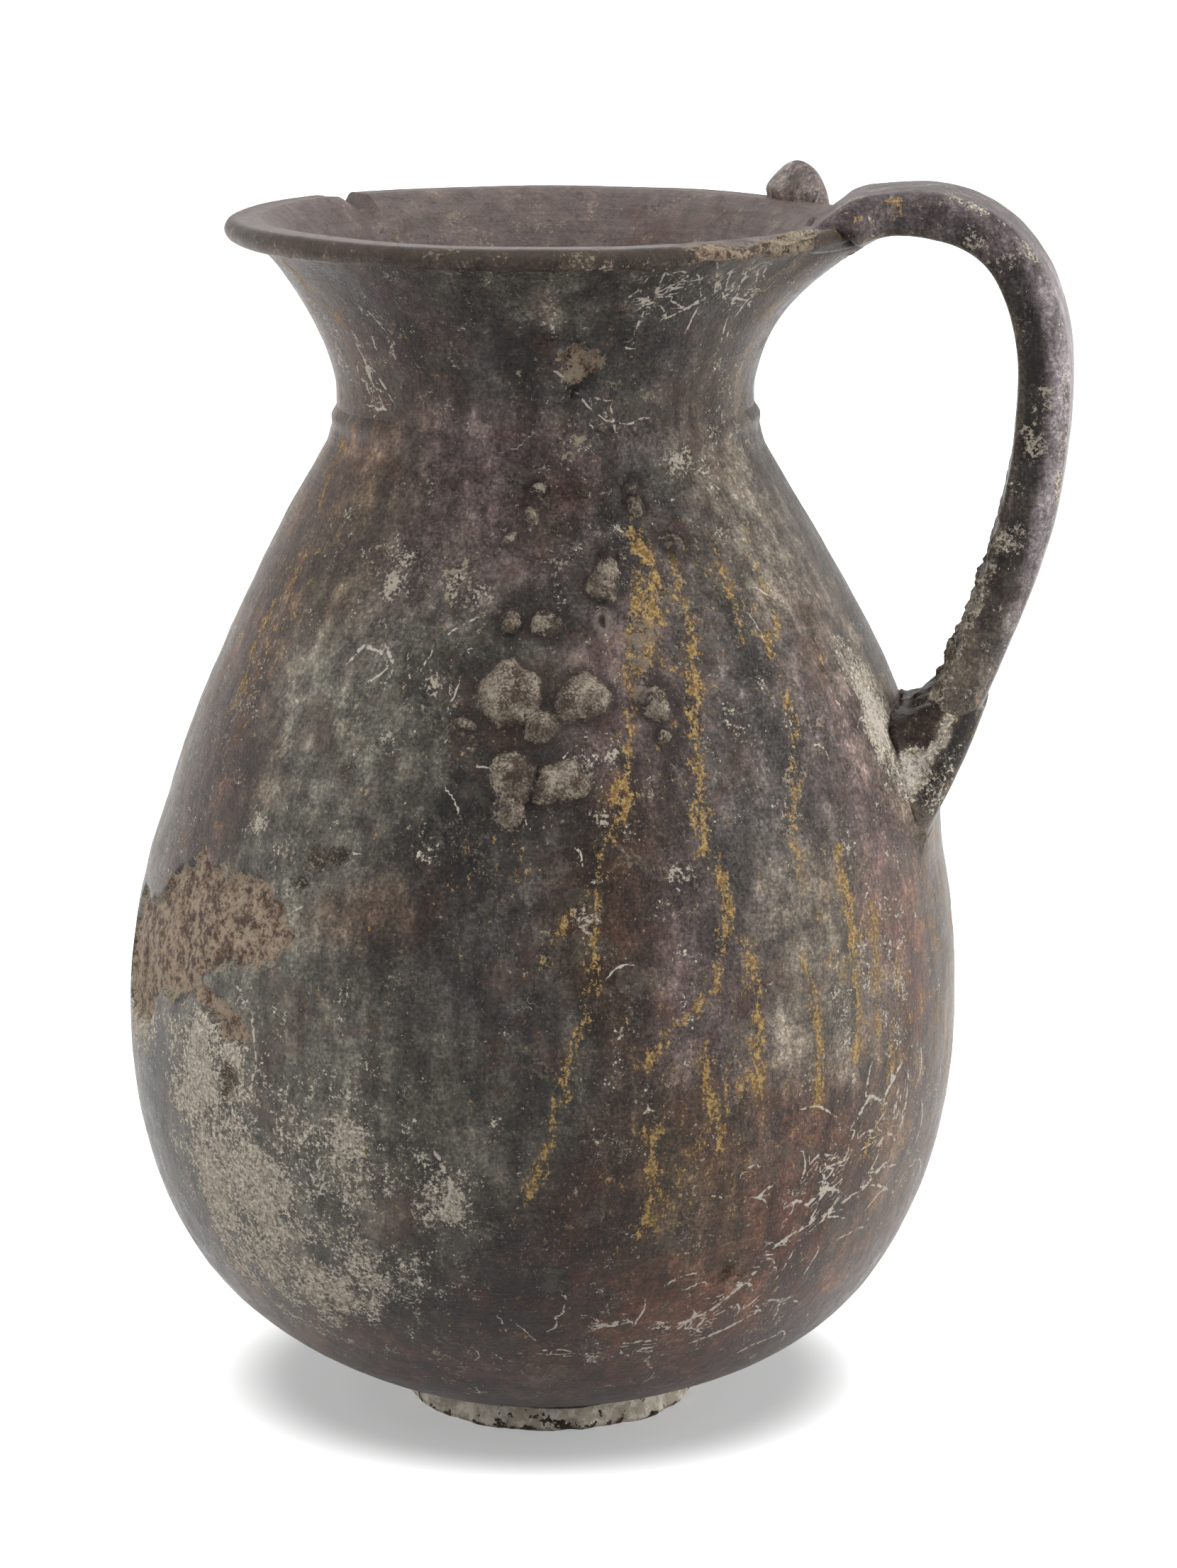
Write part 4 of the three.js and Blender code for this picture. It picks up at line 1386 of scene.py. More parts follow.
def inside_share(box):
    return box.step(box.field("flake"), *INSIDE_STEP)


def dust(coat):
    """Pale grains in the pores, small loose flakes and a few bright specks."""
    box = coat.box
    flake = box.field("flake")
    grains = box.sum(PORE_MIX, box.waves(*PORES), box.waves(*DRIFT), flake, inside_share(box))
    coat.lay(box.step(grains, *PORE_STEP), colour(PORE_GRAIN), matt=0.2, rise=0.015)
    loose = box.sum(FLAKE_MIX, box.waves(*FLAKES), box.waves(*FLAKE_DRIFT), flake)
    coat.lay(box.step(loose, *FLAKE_STEP), colour(LOOSE_FLAKE), rise=0.06)
    coat.lay(box.step(box.waves(*SPECKS), *SPECK_STEP), colour(BRIGHT_SPECK))


def deposit(coat):
    """A greenish grey film with cream lime on it, in fine grains, with fine dark cracks."""
    box = coat.box
    trails = box.waves(*TRAILS)
    thick = box.sum(THICK_MIX, box.field("cream"), box.waves(*CLOTS), trails)
    film = box.sum(FILM_MIX, thick, box.waves(*FILM_GRAIN))
    tint = box.mix(box.step(box.waves(*FILM_CLOUDS), *TINT_STEP), colour(FILM_DARK), colour(FILM_PALE))
    coat.lay(box.step(film, *FILM_STEP), tint, rise=0.01)
    crumbs = box.waves(*LIME_CRUMBS)
    lime = box.sum(LIME_MIX, thick, crumbs)
    code = box.mix(box.step(crumbs, *CRUMB_STEP), colour(LIME_SHADE), colour(LIME_LIGHT))
    code = box.mix(box.step(box.field("cream"), *THICK_STEP), code, colour(LIME_THICK))
    coat.lay(box.step(lime, *LIME_STEP), code, rise=0.05)
    crack = box.step(box.math("ABSOLUTE", box.waves(*LIME_CRACKS)), *CRACK_STEP)
    coat.lay(box.times(crack, box.step(thick, *CRACKED_STEP)), colour(CRACK_DARK), matt=0.0)
    gaps = box.step(box.waves(*LIME_GAPS), *GAP_STEP)
    coat.lay(box.times(gaps, box.step(thick, *GAPPED_STEP)), colour(GAP_DARK), matt=0.0)


def ochre(coat):
    """Rusty yellow runs, broken into upright flecks."""
    box = coat.box
    flecks = box.waves(*OCHRE_FLECKS)
    torn = box.sum(TORN_MIX, flecks, box.mottle, box.waves(*OCHRE_GRAIN))
    drip = box.step(box.sum(DRIP_MIX, box.field("drip"), torn), *DRIP_STEP)
    stain = box.step(box.sum(STAIN_MIX, box.field("ochre"), torn), *STAIN_STEP)
    yellow = box.mix(box.step(box.grit, *YELLOW_STEP), colour(OCHRE_DEEP), colour(OCHRE_PALE))
    brown = box.sum(BROWN_MIX, box.field("drip"), box.field("ochre"), box.mottle, box.down)
    coat.lay(box.step(brown, *BROWN_STEP), colour(OCHRE_STAIN), matt=0.1)
    coat.lay(box.times(box.most(drip, stain), OCHRE_SHARE), yellow, rise=0.03)


def lime(coat):
    """Cream crumbs, crusted lumps each with painted shade in a dark halo round it, and ring marks."""
    box = coat.box
    grain = box.waves(*LIME_GRAIN)
    crumbs = box.step(box.sum(SPOT_MIX, box.field("spot"), box.grit, grain), *SPOT_STEP)
    coat.lay(crumbs, colour(CREAM_CRUMB), rise=0.10)
    edge = box.sum(LUMP_MIX, box.field("lime"), box.mottle, grain)
    # painted shade: a dark halo round each lump, where its foot meets the wall
    coat.lay(box.times(box.step(edge, *LUMP_SHADE_STEP), LUMP_SHADE_SHARE), colour(LUMP_RIM_SHADE), matt=0.1)
    curd = box.sum(CURD_MIX, box.waves(*CURD_FINE), box.waves(*CURD_BROAD))
    crust = box.mix(box.step(box.mottle, *CRUST_STEP), colour(CRUST_DARK), colour(CRUST_MIDDLE))
    crust = box.mix(box.step(curd, *CRUST_PALE_STEP), crust, colour(CRUST_PALE))
    crust = box.mix(box.step(curd, *CRUST_PORE_STEP), crust, colour(CRUST_PORE))
    share = box.step(edge, *LUMP_STEP)
    coat.lay(share, crust)
    coat.height = box.sum(LUMP_HEIGHT, coat.height, box.times(share, grain))
    ring = box.field("ring")
    coat.lay(box.step(ring, *RING_STEP), colour(RING_DARK))
    band = box.times(box.step(box.sum(BAND_MIX, ring, grain), *BAND_STEP), box.step(ring, *BAND_END_STEP))
    coat.lay(box.times(band, BAND_SHARE), colour(RING_PALE))


def broken(coat):
    """Places where the face has flaked off to the brown clay beneath, each with a painted highlight along
    its edge.
    """
    box = coat.box
    field = box.field("spall")
    grain = box.waves(*BROKEN_GRAIN)
    edge = box.sum(BREAK_MIX, field, box.grit, box.mottle)
    share = box.step(edge, *BREAK_STEP)
    rough = box.sum(ROUGH_MIX, grain, box.waves(*BROKEN_ROUGH))
    clay = box.mix(box.step(rough, *ROUGH_STEP), colour(BROKEN_DARK), colour(BROKEN_PALE))
    chalk = box.sum(CHALK_MIX, box.waves(*CHALK), box.field("cream"))
    clay = box.mix(box.step(chalk, *CHALK_STEP), clay, colour(BROKEN_CHALK))
    coat.lay(share, clay)
    holes = box.step(box.waves(*HOLES), *HOLE_STEP)
    coat.lay(box.times(holes, box.times(share, HOLE_SHARE)), colour(BROKEN_HOLE))
    # a painted highlight: a pale band along the edge of each break, broken up by noise
    lip = box.times(box.step(edge, *BREAK_HIGHLIGHT_STEP), box.step(edge, *BREAK_HIGHLIGHT_END_STEP))
    lip = box.times(lip, box.step(box.waves(*HIGHLIGHT_GAPS), *HIGHLIGHT_GAP_STEP))
    coat.lay(lip, colour(BROKEN_EDGE_HIGHLIGHT), matt=0.0)
    coat.height = box.sum(BREAK_HEIGHT, coat.height, box.times(share, grain))
    coat.lay(box.step(box.sum(PIT_MIX, box.field("pit"), grain), *PIT_STEP), colour(PIT_DARK))
    crumbs = box.times(box.step(box.field("pit"), *PIT_FLOOR_STEP), box.step(grain, *PIT_CRUMB_STEP))
    coat.lay(crumbs, colour(PIT_CRUMB))


def roots(coat):
    """Fine white marks left by roots."""
    box = coat.box
    wander = box.waves(*ROOT_WAVES)
    across = box.math("ABSOLUTE", box.field("thread"))
    line = box.step(box.sum(ROOT_MIX, across, wander), *ROOT_STEP)
    line = box.times(line, box.step(box.field("away"), *ROOT_END_STEP))
    line = box.times(line, box.step(box.waves(*ROOT_GAPS), *ROOT_GAP_STEP))
    curl = box.math("ABSOLUTE", box.waves(*ROOT_CURLS))
    patch = box.sum(CURL_MIX, box.waves(*DRIFT), box.grit, inside_share(box))
    curls = box.times(box.step(curl, *CURL_STEP), box.step(patch, *CURL_PATCH_STEP))
    coat.lay(box.times(box.most(line, curls), ROOT_SHARE), colour(ROOT_WHITE), rise=0.05)


def clay_material(name):
    coat = fired_clay(Paint(name), CLAY_GLOSS)
    for layer in (smoke, dust, deposit, ochre, lime, broken, roots):
        layer(coat)
    return coat.finish()


def limed_stone(name):
    """The foot's underside and edge: cream limewash, chipped down to dark clay; its palest wash is partly
    painted light.
    """
    coat = fired_clay(Paint(name), LIMED_GLOSS)
    box = coat.box
    chips = box.sum(WASH_MIX, box.waves(*WASH_CHIPS), box.grit, box.field("cream"))
    clouds = box.step(box.waves(*WASH_CLOUDS), *WASH_CLOUD_STEP)
    wash = box.mix(clouds, colour(WASH_DULL), colour(WASH_BRIGHT_LIT))
    coat.lay(box.step(chips, *WASH_STEP), wash, matt=0.1, rise=0.25)
    return coat.finish()


burnished = clay_material("burnished_clay")
limed = limed_stone("limed_foot")


# Pieces
def raised(grid, loop=False, rough=1.0):
    return grid + ring_normals(grid, loop) * relief(grid, rough)[..., None]


def joined(grid, near, distance, size, loop=False):
    normals = ring_normals(grid, loop)
    rise = np.zeros(grid.shape[:-1])
    rise[near] = fillet(grid[near], normals[near], distance, size)
    return grid + normals * rise[..., None]


def tint(fields, share, code):
    fields["tone"] += share[:, None] * (linear(code) - fields["tone"])


def shown_wall(line, top_rise, low_rise, seat):
    """The wall's outer face in fine rows, then its inner face in coarse ones."""
    inner = offset(line, BODY_WALL)
    inner[-1, 1] = line[-1, 1] + top_rise
    inner[0, 1] = line[0, 1] + low_rise
    outer = even(line, ROW_GAP)
    return np.vstack([seat, outer]), even(inner[::-1], INNER_ROW_GAP)


def make_body():
    low = lower_line()
    seat_radius = np.linspace(AXIS_GAP, FOOT_RADIUS, SEAT_POINTS)[:-1]
    seat_height = FOOT_HEIGHT - FOOT_DISH * (1 - seat_radius / FOOT_RADIUS) + GAP
    seat = np.stack([seat_radius, seat_height], 1)
    outer, inner = shown_wall(low, JOINT_RISE, BODY_WALL, seat)
    floor = FOOT_HEIGHT + BODY_WALL
    inner = np.vstack([inner, [(FLOOR_RADIUS, floor), (AXIS_GAP, floor - FLOOR_DIP)]])
    grid = np.vstack([raised(spin(outer)), spin(inner)])
    build("lower_body_clay", "lower_body", grid, burnished)

    high = upper_line()
    outer, inner = shown_wall(high, -SEAT_DROP, JOINT_RISE, np.empty((0, 2)))
    face = spin(outer)
    x, y, z = np.moveaxis(face, -1, 0)
    near = (x > NEAR_ROOT_X) & (np.abs(y) < NEAR_ROOT_HALF)
    near &= (z > NEAR_ROOT_HEIGHTS[0]) & (z < NEAR_ROOT_HEIGHTS[1])
    face = raised(joined(face, near, root_distance, ROOT_FILLET))
    grid = np.vstack([face, spin(inner)])
    build("upper_body_clay", "upper_body", grid, burnished, loop=True)


def root_distance(points):
    return strap_distance(points) - ROOT_SWELL


def chip_depth(points):
    away = around(turn_of(points), CHIP_ANGLE) * math.pi / 180 * RIM_RADIUS
    notch = np.where(away < 0, smooth(away, -CHIP_EDGE, 0.0), 1 - smooth(away, 0.0, 2 * CHIP_HALF))
    low, high = (RIM_HEIGHT - drop for drop in CHIP_DROPS)
    return CHIP_DEPTH * notch * smooth(points[..., 2], low, high)


def rim_wear(points):
    """Where the rim's edge is broken away between the stump and the front, 0 to 1."""
    away = np.abs(around(turn_of(points), WORN_RIM_ANGLE)) + WORN_RIM_WANDER * cloud(points, *WEAR_WAVES)
    share = 1 - smooth(away, WORN_RIM_HALF - WORN_RIM_FADE, WORN_RIM_HALF + WORN_RIM_FADE)
    edge = smooth(axis_distance(points), *(RIM_RADIUS - reach for reach in WORN_RIM_REACH))
    return share * edge * smooth(points[..., 2], *(RIM_HEIGHT - drop for drop in WORN_RIM_DROPS))


def webbed(points):
    """The neck swells under the strap, so that the two run together in a web of clay."""
    away = points - np.stack([lean(points[..., 2]), 0 * points[..., 0], points[..., 2]], -1)
    radius = np.hypot(away[..., 0], away[..., 1])
    climb = np.clip((points[..., 2] - WEB_FOOT_HEIGHT) / (WEB_TOP_HEIGHT - WEB_FOOT_HEIGHT), 0, 1) ** 4
    across = np.exp(-((points[..., 1] / WEB_HALF) ** 4)) * (points[..., 0] > 0)
    swell = np.maximum(RIM_RADIUS + LIP_RADIUS - radius, 0) * climb * across
    return points + away * (swell / radius)[..., None]


def make_neck():
    lip = lip_line()
    outer = even(np.vstack([neck_line(), lip[1 : LIP_SPLIT + 1]]), ROW_GAP)
    top = even(lip[LIP_SPLIT:], LIP_GAP)
    inner = even(neck_inner_line()[::-1], NECK_INNER_GAP)
    line = np.vstack([outer, top[1:], inner])
    face = spin(line)
    face[: len(outer)] = webbed(face[: len(outer)])
    near = (face[..., 0] > NEAR_STRAP_X) & (np.abs(face[..., 1]) < NEAR_STRAP_HALF)
    near &= face[..., 2] > NEAR_STRAP_HEIGHT
    filled = joined(face, near, strap_distance, RIM_FILLET, loop=True)
    under_strap = 1 - smooth(np.abs(face[..., 1]), *CORNER_FADE)
    face = face + under_strap[..., None] * (filled - face)
    face = raised(face, loop=True, rough=ROUGH)
    face[..., 2] -= chip_depth(face)
    worn = rim_wear(face)
    least, more, floor = RAGGED
    ragged = worn * (least + more * np.maximum(cloud(face, *RAGGED_WAVES), floor))
    face = face - ring_normals(face, True) * ragged[..., None]

    def change(points, fields):
        radius = axis_distance(points)
        height = points[:, 2]
        inside = smooth(wall_radius(np.minimum(height, INSIDE_HEIGHTS[0])) - radius, *INSIDE_GAP)
        inside = np.maximum(inside, smooth(height, *INSIDE_HEIGHTS))
        tint(fields, inside, INSIDE_TONE)
        lip = smooth(radius, RIM_RADIUS - LIP_TONE_REACH[0], RIM_RADIUS + LIP_TONE_REACH[1])
        tint(fields, lip * smooth(height, *LIP_TONE_HEIGHTS), LIP_TONE)
        fields["flake"] = fields["flake"] - NECK_CALM
        bare = inside > 0.5
        for name in ("lime", "ring", "spall", "pit", "spot", "drip", "cream", "ochre", "flake"):
            fields[name] = np.where(bare, -1, fields[name])
        fields["away"] = np.where(bare, 1, fields["away"])
        least, depth = RAGGED_SPALL
        fields["spall"] = np.maximum(fields["spall"], (rim_wear(points) - least) * depth / FIELD_REACH)

    build("neck_clay", "neck", face, burnished, loop=True, change=change)


def make_collar():
    under = upper_line()
    under = under[under[:, 1] > COLLAR_FOOT_HEIGHT - COLLAR_START]
    core = even(np.vstack([under, [(NECK_RADIUS, COLLAR_TOP_HEIGHT)]]), COLLAR_GAP)
    share = np.linspace(0, 1, len(core))
    proud = COLLAR_THICKNESS * smooth(share, *COLLAR_RISE) * (1 - smooth(share, *COLLAR_FALL))
    outer = core.copy()
    outer[:, 0] += proud - COLLAR_SINK
    inner = core[::-1] - (COLLAR_DEEP, 0)
    grid = spin(np.vstack([outer, inner]))
    turn = spin(np.array([[NECK_RADIUS, COLLAR_TOP_HEIGHT]]))
    wave = cloud(turn, *COLLAR_WAVES)
    radial = turn - (0, 0, COLLAR_TOP_HEIGHT)
    radial /= np.linalg.norm(radial, axis=-1, keepdims=True)
    rows = len(outer)
    thin = (proud[:, None] * wave * COLLAR_UNEVEN)[..., None]
    grid[:rows] += radial * thin
    grid[:rows, :, 2] += wave * COLLAR_WAVE
    grid[:rows] += radial * relief(grid[:rows])[..., None]
    build("collar_clay", "collar", grid, burnished, loop=True)


def strap_grid(start, end, gap, side, inward, outward, count=RING_COUNT):
    """Rounded rectangles across the strap's path, grown by the given amounts."""
    rows = int((end - start) / gap)
    done = np.linspace(start, end, rows)
    width, thickness, shift = strap_size(done)
    side, inward, outward = (np.broadcast_to(v, done.shape) for v in (side, inward, outward))
    half = width / 2 + side
    deep = (thickness + inward + outward) / 2
    middle = np.stack([np.interp(done, PATH_RUN, PATH[:, k]) for k in (0, 1)], 1)
    slope = np.stack([np.interp(done, PATH_RUN, PATH_SLOPE[:, k]) for k in (0, 1)], 1)
    out = np.stack([-slope[:, 1], slope[:, 0]], 1)
    middle = middle + out * ((outward - inward) / 2)[:, None]
    grid = np.empty((rows, count, 3))
    for row in range(rows):
        ring = rounded(half[row], deep[row], count)
        grid[row, :, 0] = middle[row, 0] + out[row, 0] * ring[:, 1]
        grid[row, :, 1] = shift[row] + ring[:, 0]
        grid[row, :, 2] = middle[row, 1] + out[row, 1] * ring[:, 1]
    return grid, done


def rounded(half, deep, count):
    """A rounded rectangle with evenly spaced points, its broad faces slightly crowned."""
    points = []
    inner_round = min(STRAP_EDGE_ROUND, deep * INNER_ROUND)
    outer_round = min(STRAP_OUTER_ROUND, deep * OUTER_ROUND)
    for quarter in range(4):
        sx = 1 if quarter in (0, 3) else -1
        sy = 1 if quarter < 2 else -1
        corner = outer_round if quarter < 2 else inner_round
        turn = np.radians(np.linspace(quarter * 90, quarter * 90 + 90, CORNER_POINTS))
        centre = np.array([sx * (half - corner), sy * (deep - corner)])
        points.append(centre + corner * np.stack([np.cos(turn), np.sin(turn)], 1))
    line = np.vstack(points + [points[0][:1]])
    run = along(line)
    want = np.linspace(0, run[-1], count + 1)[:-1]
    ring = np.stack([np.interp(want, run, line[:, k]) for k in (0, 1)], 1)
    flat = np.abs(ring[:, 1]) > deep * CROWN_START
    ring[:, 1] += CROWN * (1 - (ring[:, 0] / half) ** 2) * np.sign(ring[:, 1]) * flat
    return ring


def make_handle():
    start, end = END_GAP, PATH_LENGTH - END_GAP
    done = np.linspace(start, end, int((end - start) / HANDLE_GAP))
    last = [PATH_LENGTH - length for length in FULL_END]
    full = smooth(done, *FULL_START) * (1 - smooth(done, *last))
    low = smooth(done, *(PATH_LENGTH * share for share in LOW_SHARES))
    under = RIM_THICKEN * smooth(done, *UNDER_START) * (1 - smooth(done, *UNDER_END))
    pinch = RIM_PINCH * (1 - smooth(done, 0, PINCH_LENGTH))
    side, inward, outward = (swell * full for swell in HANDLE_SWELL)
    outward = outward - HANDLE_SLIM * low
    grid, done = strap_grid(start, end, HANDLE_GAP, side - pinch, inward + under, outward)
    near_rim = np.broadcast_to((done < NEAR_RIM_LENGTH)[:, None], grid.shape[:2])
    near_root = np.broadcast_to((done > PATH_LENGTH - NEAR_ROOT_LENGTH)[:, None], grid.shape[:2])
    clear = smooth(done, *CLEAR_LENGTH)[:, None, None]
    grid = grid + clear * (joined(grid, near_rim, vessel_distance, RIM_FILLET) - grid)
    grid = joined(grid, near_root, vessel_distance, ROOT_FILLET)
    grid = raised(grid, rough=ROUGH)
    _, out = strap_place(grid)
    inner = smooth(-out, *HANDLE_CRUST_DEPTH) * smooth(grid[..., 2], *HANDLE_CRUST_FOOT)
    inner = inner * (1 - smooth(grid[..., 2], *HANDLE_CRUST_TOP))
    crust = inner * np.maximum(cloud(grid, *HANDLE_CRUST_WAVES) + HANDLE_CRUST_LIFT, 0) * HANDLE_CRUST
    grid = grid + ring_normals(grid) * crust[..., None]

    def change(points, fields):
        _, out = strap_place(points)
        height = points[:, 2]
        inner_lime = smooth(-out, *INNER_LIME) * (1 - smooth(height, *INNER_LIME_HEIGHTS)) * INNER_LIME_SHARE
        edge_lime = EDGE_LIME_SHARE * smooth(out, *EDGE_LIME) * smooth(-points[:, 1], *EDGE_LIME_SIDE)
        bent = warped(points, *CRUMB_WARP)
        for name, marks in (("spot", HANDLE_CRUMBS), ("drip", HANDLE_OCHRE)):
            for mark in marks:
                depth = mark[3] - np.linalg.norm(bent - mark[:3], axis=-1)
                fields[name] = np.maximum(fields[name], np.clip(depth / FIELD_REACH, -1, 1))
        lower = 1 - smooth(height, *LOWER_HEIGHTS)
        # the outer face of the strap gets a painted sheen, lighter than its near face
        outer = smooth(out - LOWER_SHIFT * lower, *OUTER_SHEEN_DEPTH)[:, None]
        edge = (INNER_EDGE_SHARE * smooth(-out, *INNER_EDGE))[:, None]
        arch = smooth(height, *ARCH_HEIGHTS)[:, None]
        share = smooth(height, *STRAP_TONE_HEIGHTS)[:, None]
        own = linear(HANDLE_TONE) + outer * (linear(STRAP_OUTER_SHEEN) - linear(HANDLE_TONE))
        own = own + arch * (linear(ARCH_TONE) - own)
        own = own + edge * (linear(ASH_AND_SHEEN) - own)
        fields["tone"] += share * (own - fields["tone"])
        away = height > STRAP_BARE_HEIGHT
        for name in ("cream", "ochre", "flake"):
            fields[name] = np.where(away, 0.0, fields[name])
        fields["cream"] = np.maximum(fields["cream"], np.maximum(inner_lime, edge_lime))

    build("handle_clay_strap", "handle", grid, burnished, change=change)


def make_root_clay():
    start = PATH_LENGTH - ROOT_TAIL - ROOT_CLAY_HEIGHT
    done = np.linspace(start, PATH_LENGTH, int((PATH_LENGTH - start) / ROOT_CLAY_GAP))
    left = fade(done - start, ROOT_CLAY_HEIGHT)
    side_tuck, crotch_tuck = ROOT_CLAY_TUCK
    side = ROOT_CLAY_SPREAD + (side_tuck - ROOT_CLAY_SPREAD) * left
    crotch = ROOT_CLAY_CROTCH + (crotch_tuck - ROOT_CLAY_CROTCH) * left
    edge = ROOT_CLAY_EDGE - ROOT_CLAY_THIN * left
    grid, done = strap_grid(start, PATH_LENGTH, ROOT_CLAY_GAP, side, crotch, edge, ROOT_CLAY_RING)
    everywhere = np.ones(grid.shape[:2], bool)
    grid = joined(grid, everywhere, vessel_distance, ROOT_CLAY_FILLET)
    normals = ring_normals(grid)
    inner = smooth(-normals[..., 0], *ROOT_CRUST_SIDE)
    crust = inner * (cloud(grid, *ROOT_CRUST_WAVES) * ROOT_CRUST)
    crust = crust * smooth(grid[..., 2], *ROOT_CRUST_HEIGHTS)
    grid = grid + normals * (relief(grid) + crust)[..., None]

    def change(points, fields):
        _, out = strap_place(points)
        height = points[:, 2]
        body_side = smooth(-out, *ROOT_LIME_SIDE) * smooth(height, *ROOT_LIME_HEIGHTS)
        # the crotch next to the body is tinted dark: crust, with painted shade where strap and body meet
        crotch = smooth(height + CROTCH_WANDER * cloud(points, *CROTCH_WAVES), *CROTCH_HEIGHTS)
        crotch = crotch * smooth(-out, *CROTCH_DEPTH)
        thin, thick = ROOT_LIME
        fields["cream"] = (1 - crotch) * np.maximum(fields["cream"] * thin, thick * body_side)
        tint(fields, crotch, CROTCH_CRUST_SHADE)
        dark = smooth(out + cloud(points, *DARK_WAVES), *ROOT_DARK_DEPTH)
        dark = dark * smooth(height, *ROOT_DARK_HEIGHTS) * smooth(-points[:, 1], *ROOT_DARK_SIDE)
        tint(fields, dark, SOOT)

    build("handle_root_lime", "handle_root_clay", grid, burnished, change=change)


def lobe_grid(angle, half, thickness, inward, flare):
    """Ovals stacked along the lobe's own upright, flared at the rim and closing in a dome."""
    turn, tip = math.radians(angle), math.radians(LOBE_LEAN)
    side = np.array([-math.sin(turn), math.cos(turn), 0])
    radial = np.array([math.cos(turn), math.sin(turn), 0])
    up = radial * math.sin(tip) + np.array([0, 0, math.cos(tip)])
    centre = radial * (RIM_RADIUS - inward) + (0, 0, RIM_HEIGHT - LIP_RADIUS)
    low_rows, high_rows = LOBE_ROWS
    low_turn, high_turn = LOBE_TURN
    below = LIP_RADIUS * np.sin(np.linspace(-math.pi / 2 + low_turn, 0, low_rows))
    above = (LOBE_RISE + LOBE_RADIUS) * np.sin(np.linspace(0, math.pi / 2 - high_turn, high_rows))[1:]
    high = np.concatenate([below, above])
    dome = np.maximum(high - LOBE_RISE, 0) / LOBE_RADIUS
    size = np.sqrt(np.clip(1 - dome**2, 0, 1))
    size = size * np.sqrt(np.clip(1 - (np.minimum(high, 0) / LIP_RADIUS) ** 2, 0, 1))
    left = np.clip(1 - (high - LIP_RADIUS) / (LOBE_RISE + LOBE_FLARE_TOP), 0, 1)
    spread = size * flare * left**LOBE_FLARE_CURVE
    lon = np.linspace(0, 2 * math.pi, LOBE_RING, endpoint=False)
    across = np.outer(size * half + spread, np.cos(lon))
    deep = np.outer(size * thickness / 2 + spread / 2, np.sin(lon))
    grid = centre + side * across[..., None] + radial * deep[..., None] + up * high[:, None, None]
    grid[..., 2] -= LOBE_SINK * np.maximum(-deep, deep / 2)
    return grid, side, up, centre


def make_lobes():
    growth = LOBE_RADIUS * FAR_LOBE_GROWTH
    grid = lobe_grid(FAR_LOBE_ANGLE - FAR_LOBE_TURN, growth, FAR_LOBE_THICKNESS, *FAR_LOBE_SHAPE)[0]
    grid = joined(grid, np.ones(grid.shape[:2], bool), vessel_distance, LOBE_FILLET)
    grid = raised(grid, rough=LOBE_ROUGH)

    # the far lobe takes one tone, lightened as painted light on its lit top
    def lit_lobe_tone(points, fields):
        fields["tone"][:] = linear(LOBE_LIT_TONE)

    build("far_lobe_clay", "far_lobe", grid, burnished, change=lit_lobe_tone)

    grid, side, up, centre = lobe_grid(NEAR_LOBE_ANGLE, LOBE_RADIUS, LOBE_THICKNESS, *STUMP_SHAPE)
    grid = joined(grid, np.ones(grid.shape[:2], bool), vessel_distance, LOBE_FILLET / 2)
    across = (grid - centre) @ side
    high = (grid - centre) @ up
    slope = math.tan(math.radians(STUMP_SLOPE * STUMP_TILT))
    top = LIP_RADIUS * STUMP_TOP + across * slope + cloud(grid, *STUMP_WAVES) * STUMP_ROUGH
    grid = grid - up * np.maximum(high - top, 0)[..., None]

    def broken_tone(points, fields):
        fields["tone"][:] = linear(TAN)
        for name, value in STUMP_FIELDS.items():
            fields[name][:] = value

    build("near_lobe_scar", "near_lobe_stump", grid, burnished, change=broken_tone)


def make_foot():
    flat = FOOT_RADIUS - FOOT_EDGE_ROUND
    wall = [(AXIS_GAP, 0), (flat, 0), (FOOT_RADIUS, FOOT_EDGE_ROUND), (FOOT_RADIUS, FOOT_HEIGHT)]
    wall = np.array(wall, float)
    line = [even(wall[k : k + 2], gap) for k, gap in enumerate(FOOT_GAPS)]
    line = [line[0][:-1], line[1][:-1], line[2]]
    dish_radius = np.linspace(FOOT_RADIUS, AXIS_GAP, FOOT_DISH_POINTS)[1:]
    dish = np.stack([dish_radius, FOOT_HEIGHT - FOOT_DISH * (1 - dish_radius / FOOT_RADIUS)], 1)
    grid = spin(np.vstack(line + [dish]), leaning=False)
    radius = np.hypot(grid[..., 0], grid[..., 1])
    edge = smooth(radius, *(FOOT_RADIUS - depth for depth in FOOT_WORN))
    most, depth = FOOT_BITE
    bite = np.minimum(cloud(grid * FOOT_BITE_STRETCH, *FOOT_BITES), most) * depth
    move = edge * (bite + cloud(grid, *FOOT_BUMPS) * FOOT_BUMP)
    grid[..., :2] += grid[..., :2] / np.maximum(radius, 1)[..., None] * move[..., None]

    def change(points, fields):
        fields["tone"][:] = linear(FOOT_TONE)
        least, more = FOOT_LIME
        fields["cream"][:] = least + more * smooth(points[:, 2], *FOOT_LIME_HEIGHTS)

    build("foot_stone", "foot", grid, limed, shift=0.0, change=change)


make_foot()
make_body()
make_neck()
make_collar()
make_handle()
make_root_clay()
make_lobes()


# Stage
def grey(level):
    return (level, level, level, 1)


